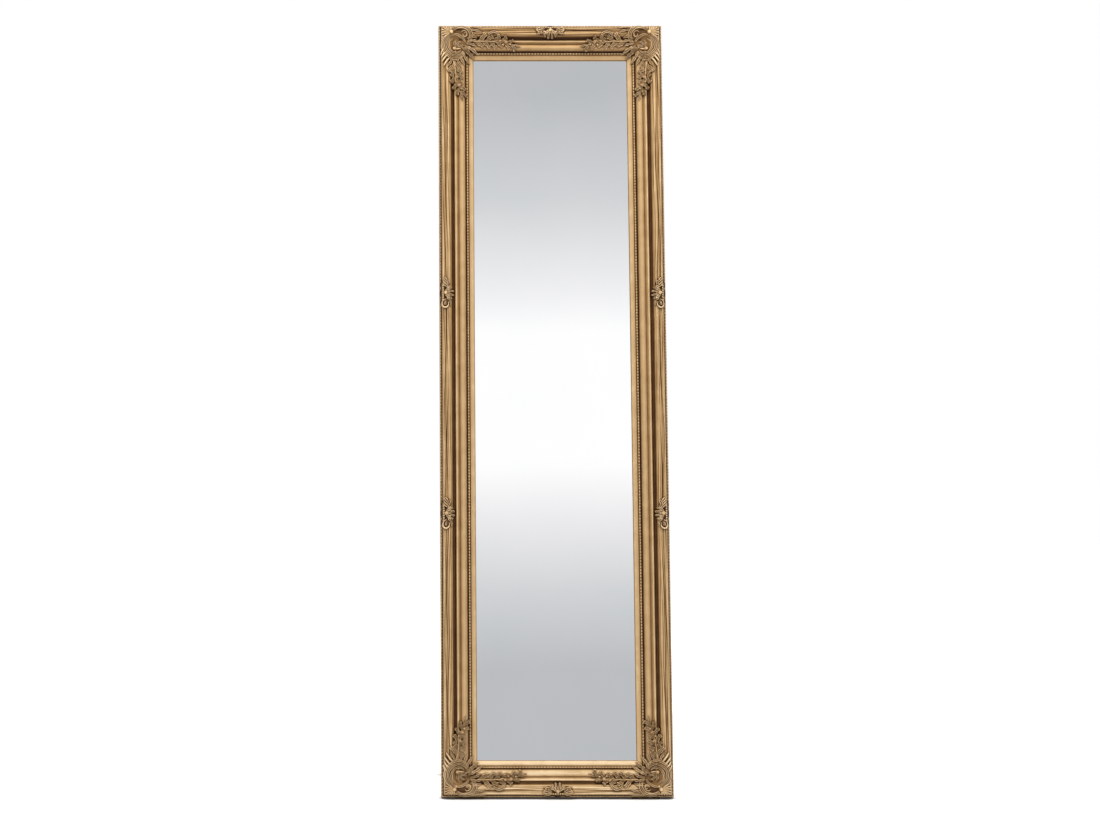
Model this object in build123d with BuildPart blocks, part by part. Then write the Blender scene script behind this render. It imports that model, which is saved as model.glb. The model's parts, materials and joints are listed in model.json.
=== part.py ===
from build123d import *
import os
from math import cos, degrees, radians, sin, tan

# A free-standing full-length mirror in a gilt moulded frame. All sizes are in millimetres.
# Most pieces are described in the face frame: x to the right, s up along the back of the
# leaning frame from its bottom edge, n out of the back towards the viewer, negative behind.

# Frame outline and stance
frame_width = 500
frame_height = 1710
lean_angle = 7.3
floor_gap = 1.0

# Widths of the moulding's bands, from the outer edge to the glass
rim_width = 4.4
outer_swell_width = 9.1
inner_swell_width = 12.5
cove_width = 9.0
fillet_width = 4.0
groove_width = 4.5
inner_ridge_width = 15.5
quirk_width = 1.6
bead_strip_width = 5.4
lip_gap = 1.0
lip_width = 11.0

# Heights of the moulding's bands above its flat back
rim_height = 20.0
ridge_wall_height = 25.0
outer_crest_height = 30.6
valley_height = 29.8
inner_crest_height = 31.8
shoulder_height = 26.5
cove_height = 18.0
fillet_height = 22.0
fillet_rise = 1.6
groove_height = 19.5
inner_ridge_height = 24.0
inner_ridge_foot = 18.5
quirk_height = 14.0
bead_seat_height = 15.0
lip_height = 15.5
lip_edge_height = 10.5
lip_swell = 0.8

# Glass and what lies behind it in the rebate
rebate_width = 8.0
glass_thickness = 4.0
glass_clearance = 1.0
foam_thickness = 1.0
board_thickness = 3.0
board_recess = 0.3

# Ornament castings
ornament_skin = 2.4
ornament_margin = 0.8
lobe_sink = 0.2
lobe_shoulder = 0.35
lobe_neck = 0.75
lobe_neck_share = 0.75
lobe_foot_share = 0.5
lobe_tip_share = 0.25
side_ornament_place = 611.0

# Mitre nails
nail_span = 10.0
nail_rise = 4.0
nail_gauge = 0.8
nail_depth = 8.0
nail_outer_place = 20.0
nail_inner_place = 50.0

# Turn buttons that hold the backing board
button_radius = 7.2
button_tip_radius = 4.0
button_reach = 12.0
button_thickness = 1.5
button_gap = 0.1
button_edge_gap = 0.6
button_spacing = 560.0

# Screws
screw_radius = 1.75
screw_length = 12.0
pan_head_radius = 3.4
pan_head_height = 1.9
slot_width = 0.8
slot_depth = 0.8
hinge_screw_radius = 1.5
hinge_screw_head = 2.9
hinge_screw_length = 13.0
running_clearance = 0.06

# Floor pads under the bottom rail
pad_length = 60.0
pad_start = 2.0
pad_end = 20.0
pad_side_inset = 30.0

# Strut hinges
hinge_height = 1250.0
hinge_leaf_width = 28.0
hinge_leaf_length = 30.0
hinge_leaf_thickness = 1.5
hinge_barrel_radius = 3.0
hinge_pin_radius = 1.3
hinge_fold_gap = 0.3
knuckle_gap = 0.2
hinge_screw_side = 7.0
hinge_screw_rise = 18.0

# Strut: two legs, two cross rails and rubber feet
strut_angle = 6.0
leg_width = 30.0
leg_thickness = 18.0
leg_side_inset = 11.0
leg_head_gap = 4.0
head_rail_height = 42.0
head_rail_drop = 34.0
foot_rail_height = 40.0
foot_rail_drop = 1050.0
rail_thickness = 16.0
dowel_radius = 4.0
dowel_length = 36.0
dowel_spacing = 20.0
foot_length = 14.0

# Stay chains and their screw eyes
stay_drop = 800.0
stay_rise = 30.0
eye_radius = 5.0
eye_wire_radius = 1.3
eye_shank_length = 12.0
eye_stand_off = 2.0
stay_side_gap = 8.0
link_wire_radius = 1.0
link_length = 13.0
link_bend_radius = 3.0
link_slack = 0.1

# Ring hangers
hanger_height = 1500.0
hanger_side_inset = 35.0
hanger_plate_width = 14.0
hanger_plate_length = 34.0
hanger_plate_thickness = 1.2
hanger_screw_spacing = 14.0
hanger_first_screw = 11.0
hanger_loop_width = 11.0
ring_wire_radius = 1.5
ring_width = 24.0
ring_drop = 18.0
ring_bend_radius = 4.5

# Places worked out from the sizes above
half_width = frame_width / 2
mid_height = frame_height / 2
outer_valley = rim_width + outer_swell_width
ridge_end = outer_valley + inner_swell_width
cove_end = ridge_end + cove_width
fillet_end = cove_end + fillet_width
groove_end = fillet_end + groove_width
inner_ridge_end = groove_end + inner_ridge_width
bead_start = inner_ridge_end + quirk_width
bead_end = bead_start + bead_strip_width
lip_start = bead_end + lip_gap
moulding_width = lip_start + lip_width
bead_top_height = bead_seat_height + bead_strip_width / 2
board_back = board_recess
foam_back = board_back + board_thickness
glass_back = foam_back + foam_thickness
rebate_depth = glass_back + glass_thickness
rebate_edge = moulding_width - rebate_width
open_angle = lean_angle + strut_angle
leg_front = hinge_barrel_radius - hinge_fold_gap - hinge_leaf_thickness
leg_back = leg_front - leg_thickness
leg_outer = half_width - leg_side_inset
leg_inner = leg_outer - leg_width
leg_middle = (leg_outer + leg_inner) / 2
stay_side = leg_inner - stay_side_gap

# The strut's foot is behind and the moulding's crest in front: the origin is midway between
hinge_z = floor_gap + hinge_height * cos(radians(lean_angle)) - hinge_barrel_radius * sin(radians(lean_angle))
hinge_y = hinge_height * sin(radians(lean_angle)) + hinge_barrel_radius * cos(radians(lean_angle))
front_reach = (inner_crest_height + ornament_skin) * cos(radians(lean_angle))
rear_reach = hinge_y + hinge_z * tan(radians(strut_angle)) - leg_back / cos(radians(strut_angle))
back_setback = (front_reach - rear_reach) / 2

face = Plane(
    origin=(0, back_setback, floor_gap),
    x_dir=(1, 0, 0),
    z_dir=(0, -cos(radians(lean_angle)), sin(radians(lean_angle))),
)
# The strut's own frame: origin on the pins' axis, y up along the leg, z out of its front face
strut = Plane(
    origin=(0, back_setback + hinge_y, hinge_z),
    x_dir=(1, 0, 0),
    z_dir=(0, -cos(radians(strut_angle)), -sin(radians(strut_angle))),
)
sides = {"left": -1, "right": 1}
ends = {"top": 1, "bottom": -1}

os.makedirs("parts", exist_ok=True)


def keep(builder, name):
    """Label a finished piece and write it to its own file."""
    builder.part.label = name
    export_step(builder.part, f"parts/{name}.step")


def place(frame, at, across=(1, 0, 0), out=(0, 0, 1)):
    """A plane at a point of a frame, its x axis and its normal given in that frame."""
    origin = frame.from_local_coords(Vector(*at))
    x_dir = frame.from_local_coords(Vector(*at) + Vector(*across)) - origin
    z_dir = frame.from_local_coords(Vector(*at) + Vector(*out)) - origin
    return Plane(origin=origin, x_dir=x_dir, z_dir=z_dir)


# Mouldings


def crown_heights():
    """The moulding's high and low points as pairs of distance from the outer edge and height."""
    return [
        (0, rim_height),
        (rim_width, rim_height),
        (rim_width, ridge_wall_height),
        (rim_width + outer_swell_width / 2, outer_crest_height),
        (outer_valley, valley_height),
        (outer_valley + inner_swell_width / 2, inner_crest_height),
        (ridge_end, shoulder_height),
        (ridge_end + cove_width / 2, cove_height),
        (cove_end, fillet_height),
        (fillet_end, fillet_height),
        (groove_end, groove_height),
        (groove_end + inner_ridge_width / 2, inner_ridge_height),
        (inner_ridge_end, inner_ridge_foot),
        (bead_start, bead_seat_height),
        (bead_end, bead_seat_height),
        (lip_start, lip_height),
        (moulding_width, lip_edge_height),
    ]


def surface_height(inset):
    """Height of the moulding's face at a distance in from the outer edge."""
    points = crown_heights()
    inset = min(max(inset, 0), moulding_width)
    for (start, low), (end, high) in zip(points, points[1:]):
        if inset <= end and end > start:
            return low + (high - low) * (inset - start) / (end - start)
    return lip_edge_height


def ridge_curves():
    """The swells, cove, fillet, groove and inner ridge."""
    ThreePointArc(
        (rim_width, ridge_wall_height),
        (rim_width + outer_swell_width / 2, outer_crest_height),
        (outer_valley, valley_height),
    )
    ThreePointArc(
        (outer_valley, valley_height),
        (outer_valley + inner_swell_width / 2, inner_crest_height),
        (ridge_end, shoulder_height),
    )
    ThreePointArc(
        (ridge_end, shoulder_height),
        (ridge_end + cove_width / 2, cove_height),
        (cove_end, fillet_height),
    )
    ThreePointArc(
        (cove_end, fillet_height),
        (cove_end + fillet_width / 2, fillet_height + fillet_rise),
        (fillet_end, fillet_height),
    )
    Line((fillet_end, fillet_height), (groove_end, groove_height))
    ThreePointArc(
        (groove_end, groove_height),
        (groove_end + inner_ridge_width / 2, inner_ridge_height),
        (inner_ridge_end, inner_ridge_foot),
    )


def lip_curve():
    """The lip's gentle fall to the glass."""
    ThreePointArc(
        (lip_start, lip_height),
        (lip_start + lip_width / 2, (lip_height + lip_edge_height) / 2 + lip_swell),
        (moulding_width, lip_edge_height),
    )


def moulding_section(plane):
    """The moulding's cross-section: x from the outer edge to the glass, y out of the flat back."""
    quirk_middle = inner_ridge_end + quirk_width / 2
    lip_quirk = bead_end + lip_gap / 2
    with BuildSketch(plane) as section:
        with BuildLine():
            Line((0, 0), (0, rim_height))
            ThreePointArc(
                (0, rim_height), (rim_width / 2, rim_height + rim_width / 2), (rim_width, rim_height)
            )
            Line((rim_width, rim_height), (rim_width, ridge_wall_height))
            ridge_curves()
            Polyline(
                (inner_ridge_end, inner_ridge_foot),
                (quirk_middle, quirk_height),
                (bead_start, bead_seat_height),
            )
            ThreePointArc(
                (bead_start, bead_seat_height),
                (bead_start + bead_strip_width / 2, bead_top_height),
                (bead_end, bead_seat_height),
            )
            Polyline(
                (bead_end, bead_seat_height),
                (lip_quirk, quirk_height),
                (lip_start, lip_height),
            )
            lip_curve()
            Polyline(
                (moulding_width, lip_edge_height),
                (moulding_width, rebate_depth),
                (rebate_edge, rebate_depth),
                (rebate_edge, 0),
                (0, 0),
            )
        make_face()
    return section.sketch


def crown_section(plane):
    """Flat faces over the moulding's high and low points, raised by the castings' skin."""
    crown = [(inset, height + ornament_skin) for inset, height in crown_heights()[2:]]
    with BuildSketch(plane) as section:
        with BuildLine():
            Polyline(
                (ornament_margin, rebate_depth),
                (ornament_margin, rim_height + rim_width / 2 + ornament_skin),
                (rim_width - ornament_margin, ridge_wall_height + ornament_skin),
                *crown,
                (moulding_width, rebate_depth),
                close=True,
            )
        make_face()
    return section.sketch


def rail_planes():
    """Section plane, half length and mitre planes of each rail, by name."""
    rails = {}
    for side, sign in sides.items():
        rails[f"{side}_stile"] = (
            place(face, (sign * half_width, mid_height, 0), (-sign, 0, 0), (0, sign, 0)),
            mid_height,
            [place(face, (sign * half_width, end, 0), out=(sign, slope, 0))
             for end, slope in ((0, 1), (frame_height, -1))],
        )
    for end, sign in ends.items():
        edge = frame_height if sign > 0 else 0
        rails[f"{end}_rail"] = (
            place(face, (0, edge, 0), (0, -sign, 0), (-sign, 0, 0)),
            half_width,
            [place(face, (side * half_width, edge, 0), out=(-side, sign, 0)) for side in (-1, 1)],
        )
    return rails


def mitred(section, half_length, mitres):
    """A section run both ways from its plane and cut on the mitres."""
    with BuildPart() as run:
        extrude(section, amount=half_length, both=True)
        for mitre in mitres:
            split(bisect_by=mitre, keep=Keep.TOP)
    return run.part


# Screws and nails


def wood_screw(seat, radius, length, head_radius, head_height, countersunk=False, slotted=True):
    """A screw whose head bears on the seat plane, with its point behind that plane."""
    profile = Plane(origin=seat.origin, x_dir=seat.x_dir, z_dir=-seat.y_dir)
    with BuildPart() as screw:
        with BuildSketch(profile):
            with BuildLine():
                if countersunk:
                    Polyline((0, 0), (head_radius, 0), (radius, radius - head_radius))
                else:
                    Line((head_radius, 0), (radius, 0))
                    ThreePointArc(
                        (0, head_height), (head_radius * 0.75, head_height * 0.7), (head_radius, 0)
                    )
                neck = radius - head_radius if countersunk else 0
                Polyline((radius, neck), (radius, 2 * radius - length), (0, -length))
                Line((0, -length), (0, 0 if countersunk else head_height))
            make_face()
        revolve(axis=Axis(seat.origin, seat.z_dir))
        if slotted:
            top = 0 if countersunk else head_height
            with BuildSketch(seat.offset(top)):
                Rectangle(slot_width, 3 * head_radius)
            extrude(amount=-slot_depth, mode=Mode.SUBTRACT)
    return screw.part


def mitre_nail(corner_side, corner_end, inset):
    """A bent nail across the mitre, flush in the back."""
    end = frame_height - inset if corner_end > 0 else inset
    plane = place(
        face, (corner_side * (half_width - inset), end, 0), (corner_end, -corner_side, 0)
    )
    with BuildPart() as nail:
        with BuildSketch(plane):
            with BuildLine():
                Polyline(
                    (-nail_span / 2, -nail_rise / 2),
                    (0, nail_rise / 2),
                    (nail_span / 2, -nail_rise / 2),
                    (nail_span / 2, -nail_rise / 2 - nail_gauge),
                    (0, nail_rise / 2 - nail_gauge),
                    (-nail_span / 2, -nail_rise / 2 - nail_gauge),
                    close=True,
                )
            make_face()
        extrude(amount=nail_depth)
    return nail.part


nails = [
    mitre_nail(side, end, inset)
    for side in sides.values()
    for end in ends.values()
    for inset in (nail_outer_place, nail_inner_place)
]

button_side = half_width - rebate_edge + button_edge_gap + button_radius
button_spots = {
    f"{side}_{level}": (sign * button_side, mid_height + step * button_spacing)
    for side, sign in sides.items()
    for level, step in (("upper", 1), ("middle", 0), ("lower", -1))
}
button_face = -button_gap - button_thickness
button_screw_seats = [
    place(face, (x, s, button_face - button_gap), out=(0, 0, -1)) for x, s in button_spots.values()
]
button_screw_length = screw_length + button_thickness + 2 * button_gap

hanger_side = half_width - hanger_side_inset
hanger_screw_seats = [
    place(face, (sign * hanger_side, hanger_height + rise, -hanger_plate_thickness), out=(0, 0, -1))
    for sign in sides.values()
    for rise in (hanger_first_screw, hanger_first_screw + hanger_screw_spacing)
]
hinge_frame_seats = [
    place(
        face,
        (sign * leg_middle + step, hinge_height + hinge_screw_rise, -hinge_leaf_thickness),
        out=(0, 0, -1),
    )
    for sign in sides.values()
    for step in (-hinge_screw_side, hinge_screw_side)
]
hinge_strut_seats = [
    place(strut, (sign * leg_middle + step, -hinge_screw_rise, leg_front + hinge_leaf_thickness))
    for sign in sides.values()
    for step in (-hinge_screw_side, hinge_screw_side)
]


def pan_screws(seats, length, slotted=True):
    """Round-headed screws at the given seats."""
    return [
        wood_screw(seat, screw_radius, length, pan_head_radius, pan_head_height, False, slotted)
        for seat in seats
    ]


def flat_screws(seats, slotted=True):
    """Countersunk hinge screws at the given seats."""
    return [
        wood_screw(
            seat, hinge_screw_radius, hinge_screw_length, hinge_screw_head, 0, True, slotted
        )
        for seat in seats
    ]


# Screw eyes and the stay between them: the strut's eye is nearly level with the frame's
eye_centre = eye_radius + eye_stand_off
frame_eye_height = hinge_height - stay_drop * cos(radians(open_angle)) + stay_rise


def screw_eye(shank_from, shank_to, centre, normal):
    """A ring on a shank that is driven into the wood."""
    with BuildPart() as eye:
        with Locations(Plane(origin=centre, x_dir=shank_to - shank_from, z_dir=normal)):
            Torus(eye_radius, eye_wire_radius)
        with BuildSketch(Plane(origin=shank_from, z_dir=shank_to - shank_from)):
            Circle(eye_wire_radius)
        extrude(amount=(shank_to - shank_from).length)
    return eye.part


frame_eyes = []
strut_eyes = []
chains = {}
for side, sign in sides.items():
    x = sign * stay_side
    frame_centre = face.from_local_coords(Vector(x, frame_eye_height, -eye_centre))
    strut_centre = strut.from_local_coords(Vector(x, -stay_drop, (leg_front + leg_back) / 2))
    along = (strut_centre - frame_centre).normalized()
    frame_eyes.append(
        screw_eye(
            face.from_local_coords(Vector(x, frame_eye_height, eye_shank_length)),
            face.from_local_coords(Vector(x, frame_eye_height, -eye_stand_off)),
            frame_centre,
            Vector(1, 0, 0),
        )
    )
    strut_eyes.append(
        screw_eye(
            strut_centre + Vector(sign * (stay_side_gap + eye_shank_length), 0, 0),
            strut_centre + Vector(sign * eye_radius, 0, 0),
            strut_centre,
            along.cross(Vector(1, 0, 0)),
        )
    )
    # An even count of links fills the way between the two rings, each turned a quarter
    run = (strut_centre - frame_centre).length - 2 * eye_radius
    link_count = 2 * round(run / (2 * link_length))
    inner_length = (run + 2 * eye_wire_radius + (link_count + 1) * link_slack) / link_count
    half_link = inner_length / 2 + link_wire_radius
    first = eye_radius - eye_wire_radius - link_wire_radius - link_slack + half_link
    with BuildPart() as stay_chain:
        for index in range(link_count):
            middle = frame_centre + along * (first + index * (inner_length - link_slack))
            turned = Vector(1, 0, 0) if index % 2 else along.cross(Vector(1, 0, 0))
            link_plane = Plane(origin=middle, x_dir=along, z_dir=turned)
            with BuildLine(link_plane) as loop:
                straight = half_link - link_bend_radius
                Line((-straight, link_bend_radius), (straight, link_bend_radius))
                ThreePointArc(
                    (straight, link_bend_radius),
                    (half_link, 0),
                    (straight, -link_bend_radius),
                )
                Line((straight, -link_bend_radius), (-straight, -link_bend_radius))
                ThreePointArc(
                    (-straight, -link_bend_radius),
                    (-half_link, 0),
                    (-straight, link_bend_radius),
                )
            with BuildSketch(Plane(origin=loop.line @ 0, z_dir=loop.line % 0)):
                Circle(link_wire_radius)
            sweep(path=loop.wire())
    keep(stay_chain, f"stay_chain_{side}")


# The four mitred rails, cut for the nails, screws and eyes that are driven into them
wood_cutters = (
    nails
    + frame_eyes
    + pan_screws(button_screw_seats, button_screw_length, slotted=False)
    + pan_screws(hanger_screw_seats, screw_length, slotted=False)
    + flat_screws(hinge_frame_seats, slotted=False)
)
blanks = {}
for name, (plane, half_length, mitres) in rail_planes().items():
    blanks[name] = mitred(moulding_section(plane), half_length, mitres)
    with BuildPart() as rail:
        add(blanks[name])
        for cutter in wood_cutters:
            if blanks[name].bounding_box().overlaps(cutter.bounding_box()):
                add(cutter, mode=Mode.SUBTRACT)
    keep(rail, name)

with BuildPart() as mitre_nails:
    for nail in nails:
        add(nail)
keep(mitre_nails, "mitre_nails")

# Ornament castings: lobed leaves, scrolls and bosses on a thin skin that follows the moulding


def rocaille_point(across, down, lift=0.0):
    """A point of the top left corner's ornament: across and down from the frame's corner."""
    height = surface_height(min(across, down)) + lift
    return face.from_local_coords(Vector(across - half_width, frame_height - down, height))


def lobe(foot, tip, width, lift=0.0):
    """A leaf lobe: three blunt cones about the line from foot to tip, half sunk."""
    start = rocaille_point(*foot, lift - lobe_sink)
    finish = rocaille_point(*tip, lift - lobe_sink)
    way = finish - start
    with BuildPart() as leaf:
        with BuildSketch(Plane(origin=start, x_dir=way, z_dir=way.cross(face.z_dir))):
            with BuildLine():
                Polyline(
                    (0, 0),
                    (0, width * lobe_foot_share / 2),
                    (way.length * lobe_shoulder, width / 2),
                    (way.length * lobe_neck, width * lobe_neck_share / 2),
                    (way.length, width * lobe_tip_share / 2),
                    (way.length, 0),
                    close=True,
                )
            make_face()
        revolve(axis=Axis(start, way))
    return leaf.part


def scroll(centre, radius, wire, start_angle, sweep_angle, height):
    """A round moulding along an arc, seen from the front, ending in two small balls."""
    origin = face.from_local_coords(
        Vector(centre[0] - half_width, frame_height - centre[1], height)
    )
    start = Vector(1, 0, 0).rotate(Axis.Z, start_angle)
    base = Plane(origin=origin, x_dir=face.x_dir, z_dir=face.z_dir)
    radial = base.from_local_coords(start) - origin
    with BuildPart() as curl:
        with BuildSketch(Plane(origin=origin, x_dir=radial, z_dir=radial.cross(face.z_dir))):
            with Locations((radius, 0)):
                Circle(wire)
        revolve(axis=Axis(origin, face.z_dir), revolution_arc=sweep_angle)
        turned = [start, start.rotate(Axis.Z, sweep_angle)]
        with Locations(*[base.from_local_coords(end * radius) for end in turned]):
            Sphere(wire * 1.25)
    return curl.part


def boss(centre, radius, lift=0.0):
    """A round boss half sunk in the moulding."""
    with BuildPart() as ball:
        with Locations(rocaille_point(*centre, lift)):
            Sphere(radius)
    return ball.part


def casting(outline, relief, section_planes, seats):
    """A casting: its skin inside the outline, its relief, and the moulding's shape below."""
    corners = [(across - half_width, frame_height - down) for across, down in outline]
    with BuildPart() as skin:
        for section, half_length, mitres in section_planes:
            add(mitred(section, half_length, mitres))
        with BuildSketch(face):
            with BuildLine():
                Polyline(*corners, close=True)
            make_face()
        extrude(amount=2 * inner_crest_height, mode=Mode.INTERSECT)
    with BuildPart() as cast:
        add(skin.part)
        for form in relief:
            add(form)
        for seat in seats:
            add(seat, mode=Mode.SUBTRACT)
    return max(cast.part.solids(), key=lambda solid: solid.volume)


# Corner ornament: a fan at the knot, two scrolls round a boss, and a spray along each rail
fan_knot = (28, 17)
fan_tips = [(7, 26), (6, 18), (9, 10), (16, 6), (25, 4)]
lower_scroll = (35, 52)
upper_scroll = (52, 25)
corner_outline = [
    (5, 34), (5, 12), (12, 5), (40, 3), (68, 2), (98, 3), (98, 20), (124, 20), (150, 21),
    (184, 33), (184, 39), (152, 49), (126, 51), (94, 53), (88, 64), (92, 84), (76, 88),
    (64, 96), (62, 132), (50, 175), (40, 175), (27, 136), (24, 100), (8, 98), (3, 84), (3, 60),
]
corner_relief = [lobe(fan_knot, tip, 6.5, 1) for tip in fan_tips]
corner_relief += [
    scroll(lower_scroll, 24, 3.0, 110, 250, surface_height(14)),
    scroll(lower_scroll, 17.5, 2.4, 130, 210, surface_height(20)),
    scroll(upper_scroll, 20, 2.8, -30, 190, surface_height(14)),
    scroll(upper_scroll, 14, 2.2, -10, 150, surface_height(24) - 2),
    boss((44, 42), 9, -1),
    boss(fan_knot, 5.5, 1),
    lobe((68, 36), (89, 33), 8, 1),
    lobe((68, 39), (91, 41), 8, 1),
    lobe((66, 43), (86, 51), 8, 1),
    lobe((60, 9), (97, 6), 7, 0),
    lobe((23, 68), (5, 64), 7, 1),
    lobe((22, 75), (5, 76), 7, 1),
    lobe((24, 81), (7, 86), 7, 1),
    lobe((26, 87), (11, 96), 7, 1),
    lobe((56, 54), (88, 81), 12, 0),
    lobe((62, 60), (66, 82), 8, 0),
    lobe((66, 62), (87, 66), 8, 0),
    lobe((40, 76), (52, 92), 8, 0),
    lobe((88, 37), (142, 34), 7, 1),
    lobe((102, 35), (122, 23), 8, 1),
    lobe((106, 37), (126, 49), 8, 1),
    lobe((122, 34), (147, 24), 8, 1),
    lobe((126, 36), (150, 47), 8, 1),
    lobe((138, 34), (168, 30), 7, 1),
    lobe((142, 36), (182, 36), 7, 1),
    boss((152, 34), 4.5, 1),
    lobe((42, 80), (45, 134), 7, 1),
    lobe((43, 92), (60, 110), 8, 1),
    lobe((42, 94), (27, 114), 8, 1),
    lobe((45, 110), (60, 130), 8, 1),
    lobe((44, 112), (30, 134), 8, 1),
    lobe((45, 126), (45, 173), 7, 1),
    lobe((45, 130), (54, 156), 6, 1),
    lobe((45, 130), (36, 156), 6, 1),
    boss((45, 140), 4.5, 1),
]
rail_data = rail_planes()


def crown_run(name):
    """The raised outline of a rail, its half length and its mitres."""
    plane, half_length, mitres = rail_data[name]
    return crown_section(plane), half_length, mitres


def mirrored_casting(name, solid, across=False, upright=False):
    """Write a casting, mirrored across the frame's middle or its mid height where asked."""
    with BuildPart() as cast:
        add(solid)
        if across:
            mirror(about=Plane.YZ, mode=Mode.REPLACE)
        if upright:
            mirror(about=place(face, (0, mid_height, 0), out=(0, 1, 0)), mode=Mode.REPLACE)
    keep(cast, name)


corner_casting = casting(
    corner_outline,
    corner_relief,
    [crown_run("top_rail"), crown_run("left_stile")],
    [blanks["top_rail"], blanks["left_stile"]],
)
for end, end_sign in ends.items():
    for side, side_sign in sides.items():
        mirrored_casting(
            f"corner_ornament_{end}_{side}", corner_casting, side_sign > 0, end_sign < 0
        )

# Middle ornaments: a shell of lobes that points to the glass, with a leaf to each side
shell_tips = [(-15, 24), (-9, 30), (0, 33), (9, 30), (15, 24)]
shell_foot = 12
leaf_tips = [(34, 12), (31, 21), (30, 5)]
shell_bead_inset = 7
shell_bead_step = 4.5
shell_outline = [
    (-37, 9), (-34, 3), (0, 3), (34, 3), (37, 9), (35, 24), (20, 28), (12, 35), (-12, 35),
    (-20, 28), (-35, 24),
]


def shell_relief(turned, middle):
    """The relief of a middle ornament: turned maps along and inset to the corner's axes."""

    def spot(along, inset):
        return (inset, middle + along) if turned else (middle + along, inset)

    forms = [lobe(spot(0, shell_foot), spot(*tip), 8, 1) for tip in shell_tips]
    for way in (-1, 1):
        for along, inset in leaf_tips:
            forms.append(lobe(spot(way * 6, 14), spot(way * along, inset), 8, 0.5))
    for bead in range(-2, 3):
        forms.append(boss(spot(bead * shell_bead_step, shell_bead_inset), 2.4))
    return forms, [spot(*point) for point in shell_outline]


relief, outline = shell_relief(False, half_width)
top_casting = casting(outline, relief, [crown_run("top_rail")], [blanks["top_rail"]])
for end, sign in ends.items():
    mirrored_casting(f"middle_ornament_{end}", top_casting, False, sign < 0)
relief, outline = shell_relief(True, side_ornament_place)
side_casting = casting(outline, relief, [crown_run("left_stile")], [blanks["left_stile"]])
for side, sign in sides.items():
    for level, upright in (("upper", False), ("lower", True)):
        mirrored_casting(f"side_ornament_{side}_{level}", side_casting, sign > 0, upright)

# Mirror glass, foam sheet and backing board in the rebate
pane_width = frame_width - 2 * (rebate_edge + glass_clearance)
pane_height = frame_height - 2 * (rebate_edge + glass_clearance)
for name, back, thickness in (
    ("mirror_glass", glass_back, glass_thickness),
    ("foam_sheet", foam_back, foam_thickness),
    ("backing_board", board_back, board_thickness),
):
    with BuildPart() as sheet:
        with BuildSketch(place(face, (0, mid_height, back))):
            Rectangle(pane_width, pane_height)
        extrude(amount=thickness)
    keep(sheet, name)

# Turn buttons: round at the screw, tapering to a tip that laps over the backing board
for name, (x, s) in button_spots.items():
    inwards = -1 if x > 0 else 1
    with BuildPart() as button:
        with BuildSketch(place(face, (x, s, button_face))):
            Circle(button_radius)
            with Locations((inwards * button_reach, 0)):
                Circle(button_tip_radius)
            make_hull()
            Circle(screw_radius + running_clearance, mode=Mode.SUBTRACT)
        extrude(amount=button_thickness)
    keep(button, f"turn_button_{name}")

with BuildPart() as button_screws:
    for screw in pan_screws(button_screw_seats, button_screw_length):
        add(screw)
keep(button_screws, "turn_button_screws")

# Floor pads: wedges between the floor and the bottom rail's leaning underside
for side, sign in sides.items():
    back_edge = face.from_local_coords(Vector(0, 0, pad_start))
    front_edge = face.from_local_coords(Vector(0, 0, pad_end))
    outer = sign * (half_width - pad_side_inset)
    with BuildPart() as pad:
        with BuildSketch(Plane.YZ.offset(outer - sign * pad_length)):
            with BuildLine():
                Polyline(
                    (back_edge.Y, 0),
                    (back_edge.Y, back_edge.Z),
                    (front_edge.Y, front_edge.Z),
                    (front_edge.Y, 0),
                    close=True,
                )
            make_face()
        extrude(amount=sign * pad_length)
    keep(pad, f"floor_pad_{side}")

# Strut hinges: the fixed leaf above the pin on the frame, the moving leaf below on the leg
knuckle = hinge_leaf_width / 3
for side, sign in sides.items():
    middle = sign * leg_middle
    leaf_cutters = {
        "fixed": flat_screws(hinge_frame_seats, slotted=False),
        "moving": flat_screws(hinge_strut_seats, slotted=False),
    }
    leaves = {
        "fixed": (face, hinge_height, -hinge_barrel_radius, 1, hinge_barrel_radius - hinge_leaf_thickness),
        "moving": (strut, 0, 0, -1, leg_front),
    }
    for kind, (frame, pin_up, pin_out, way, leaf_seat) in leaves.items():
        clear = hinge_barrel_radius + knuckle_gap
        with BuildPart() as leaf:
            with BuildSketch(place(frame, (middle, pin_up + way * hinge_leaf_length / 2, pin_out + leaf_seat))):
                Rectangle(hinge_leaf_width, hinge_leaf_length)
            extrude(amount=hinge_leaf_thickness)
            for step in (-1, 0, 1):
                own = (step == 0) == (kind == "moving")
                across = place(
                    frame, (middle + step * knuckle, pin_up, pin_out), (0, 1, 0), (1, 0, 0)
                )
                if own:
                    with BuildSketch(across):
                        Circle(hinge_barrel_radius)
                    extrude(amount=(knuckle - knuckle_gap) / 2, both=True)
                else:
                    with BuildSketch(across):
                        Rectangle(2 * clear, 2 * clear)
                    extrude(amount=(knuckle + knuckle_gap) / 2, both=True, mode=Mode.SUBTRACT)
            bore = hinge_pin_radius + (running_clearance if kind == "moving" else 0)
            with BuildSketch(place(frame, (middle, pin_up, pin_out), (0, 1, 0), (1, 0, 0))):
                Circle(bore)
            extrude(amount=hinge_leaf_width, both=True, mode=Mode.SUBTRACT)
            for cutter in leaf_cutters[kind]:
                add(cutter, mode=Mode.SUBTRACT)
        keep(leaf, f"hinge_{kind}_leaf_{side}")
    with BuildPart() as pin:
        with BuildSketch(place(strut, (middle, 0, 0), (0, 1, 0), (1, 0, 0))):
            Circle(hinge_pin_radius)
        extrude(amount=hinge_leaf_width / 2, both=True)
    keep(pin, f"hinge_pin_{side}")

for name, seats in (("hinge_screws_frame", hinge_frame_seats), ("hinge_screws_strut", hinge_strut_seats)):
    with BuildPart() as screws:
        for screw in flat_screws(seats):
            add(screw)
    keep(screws, name)

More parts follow.
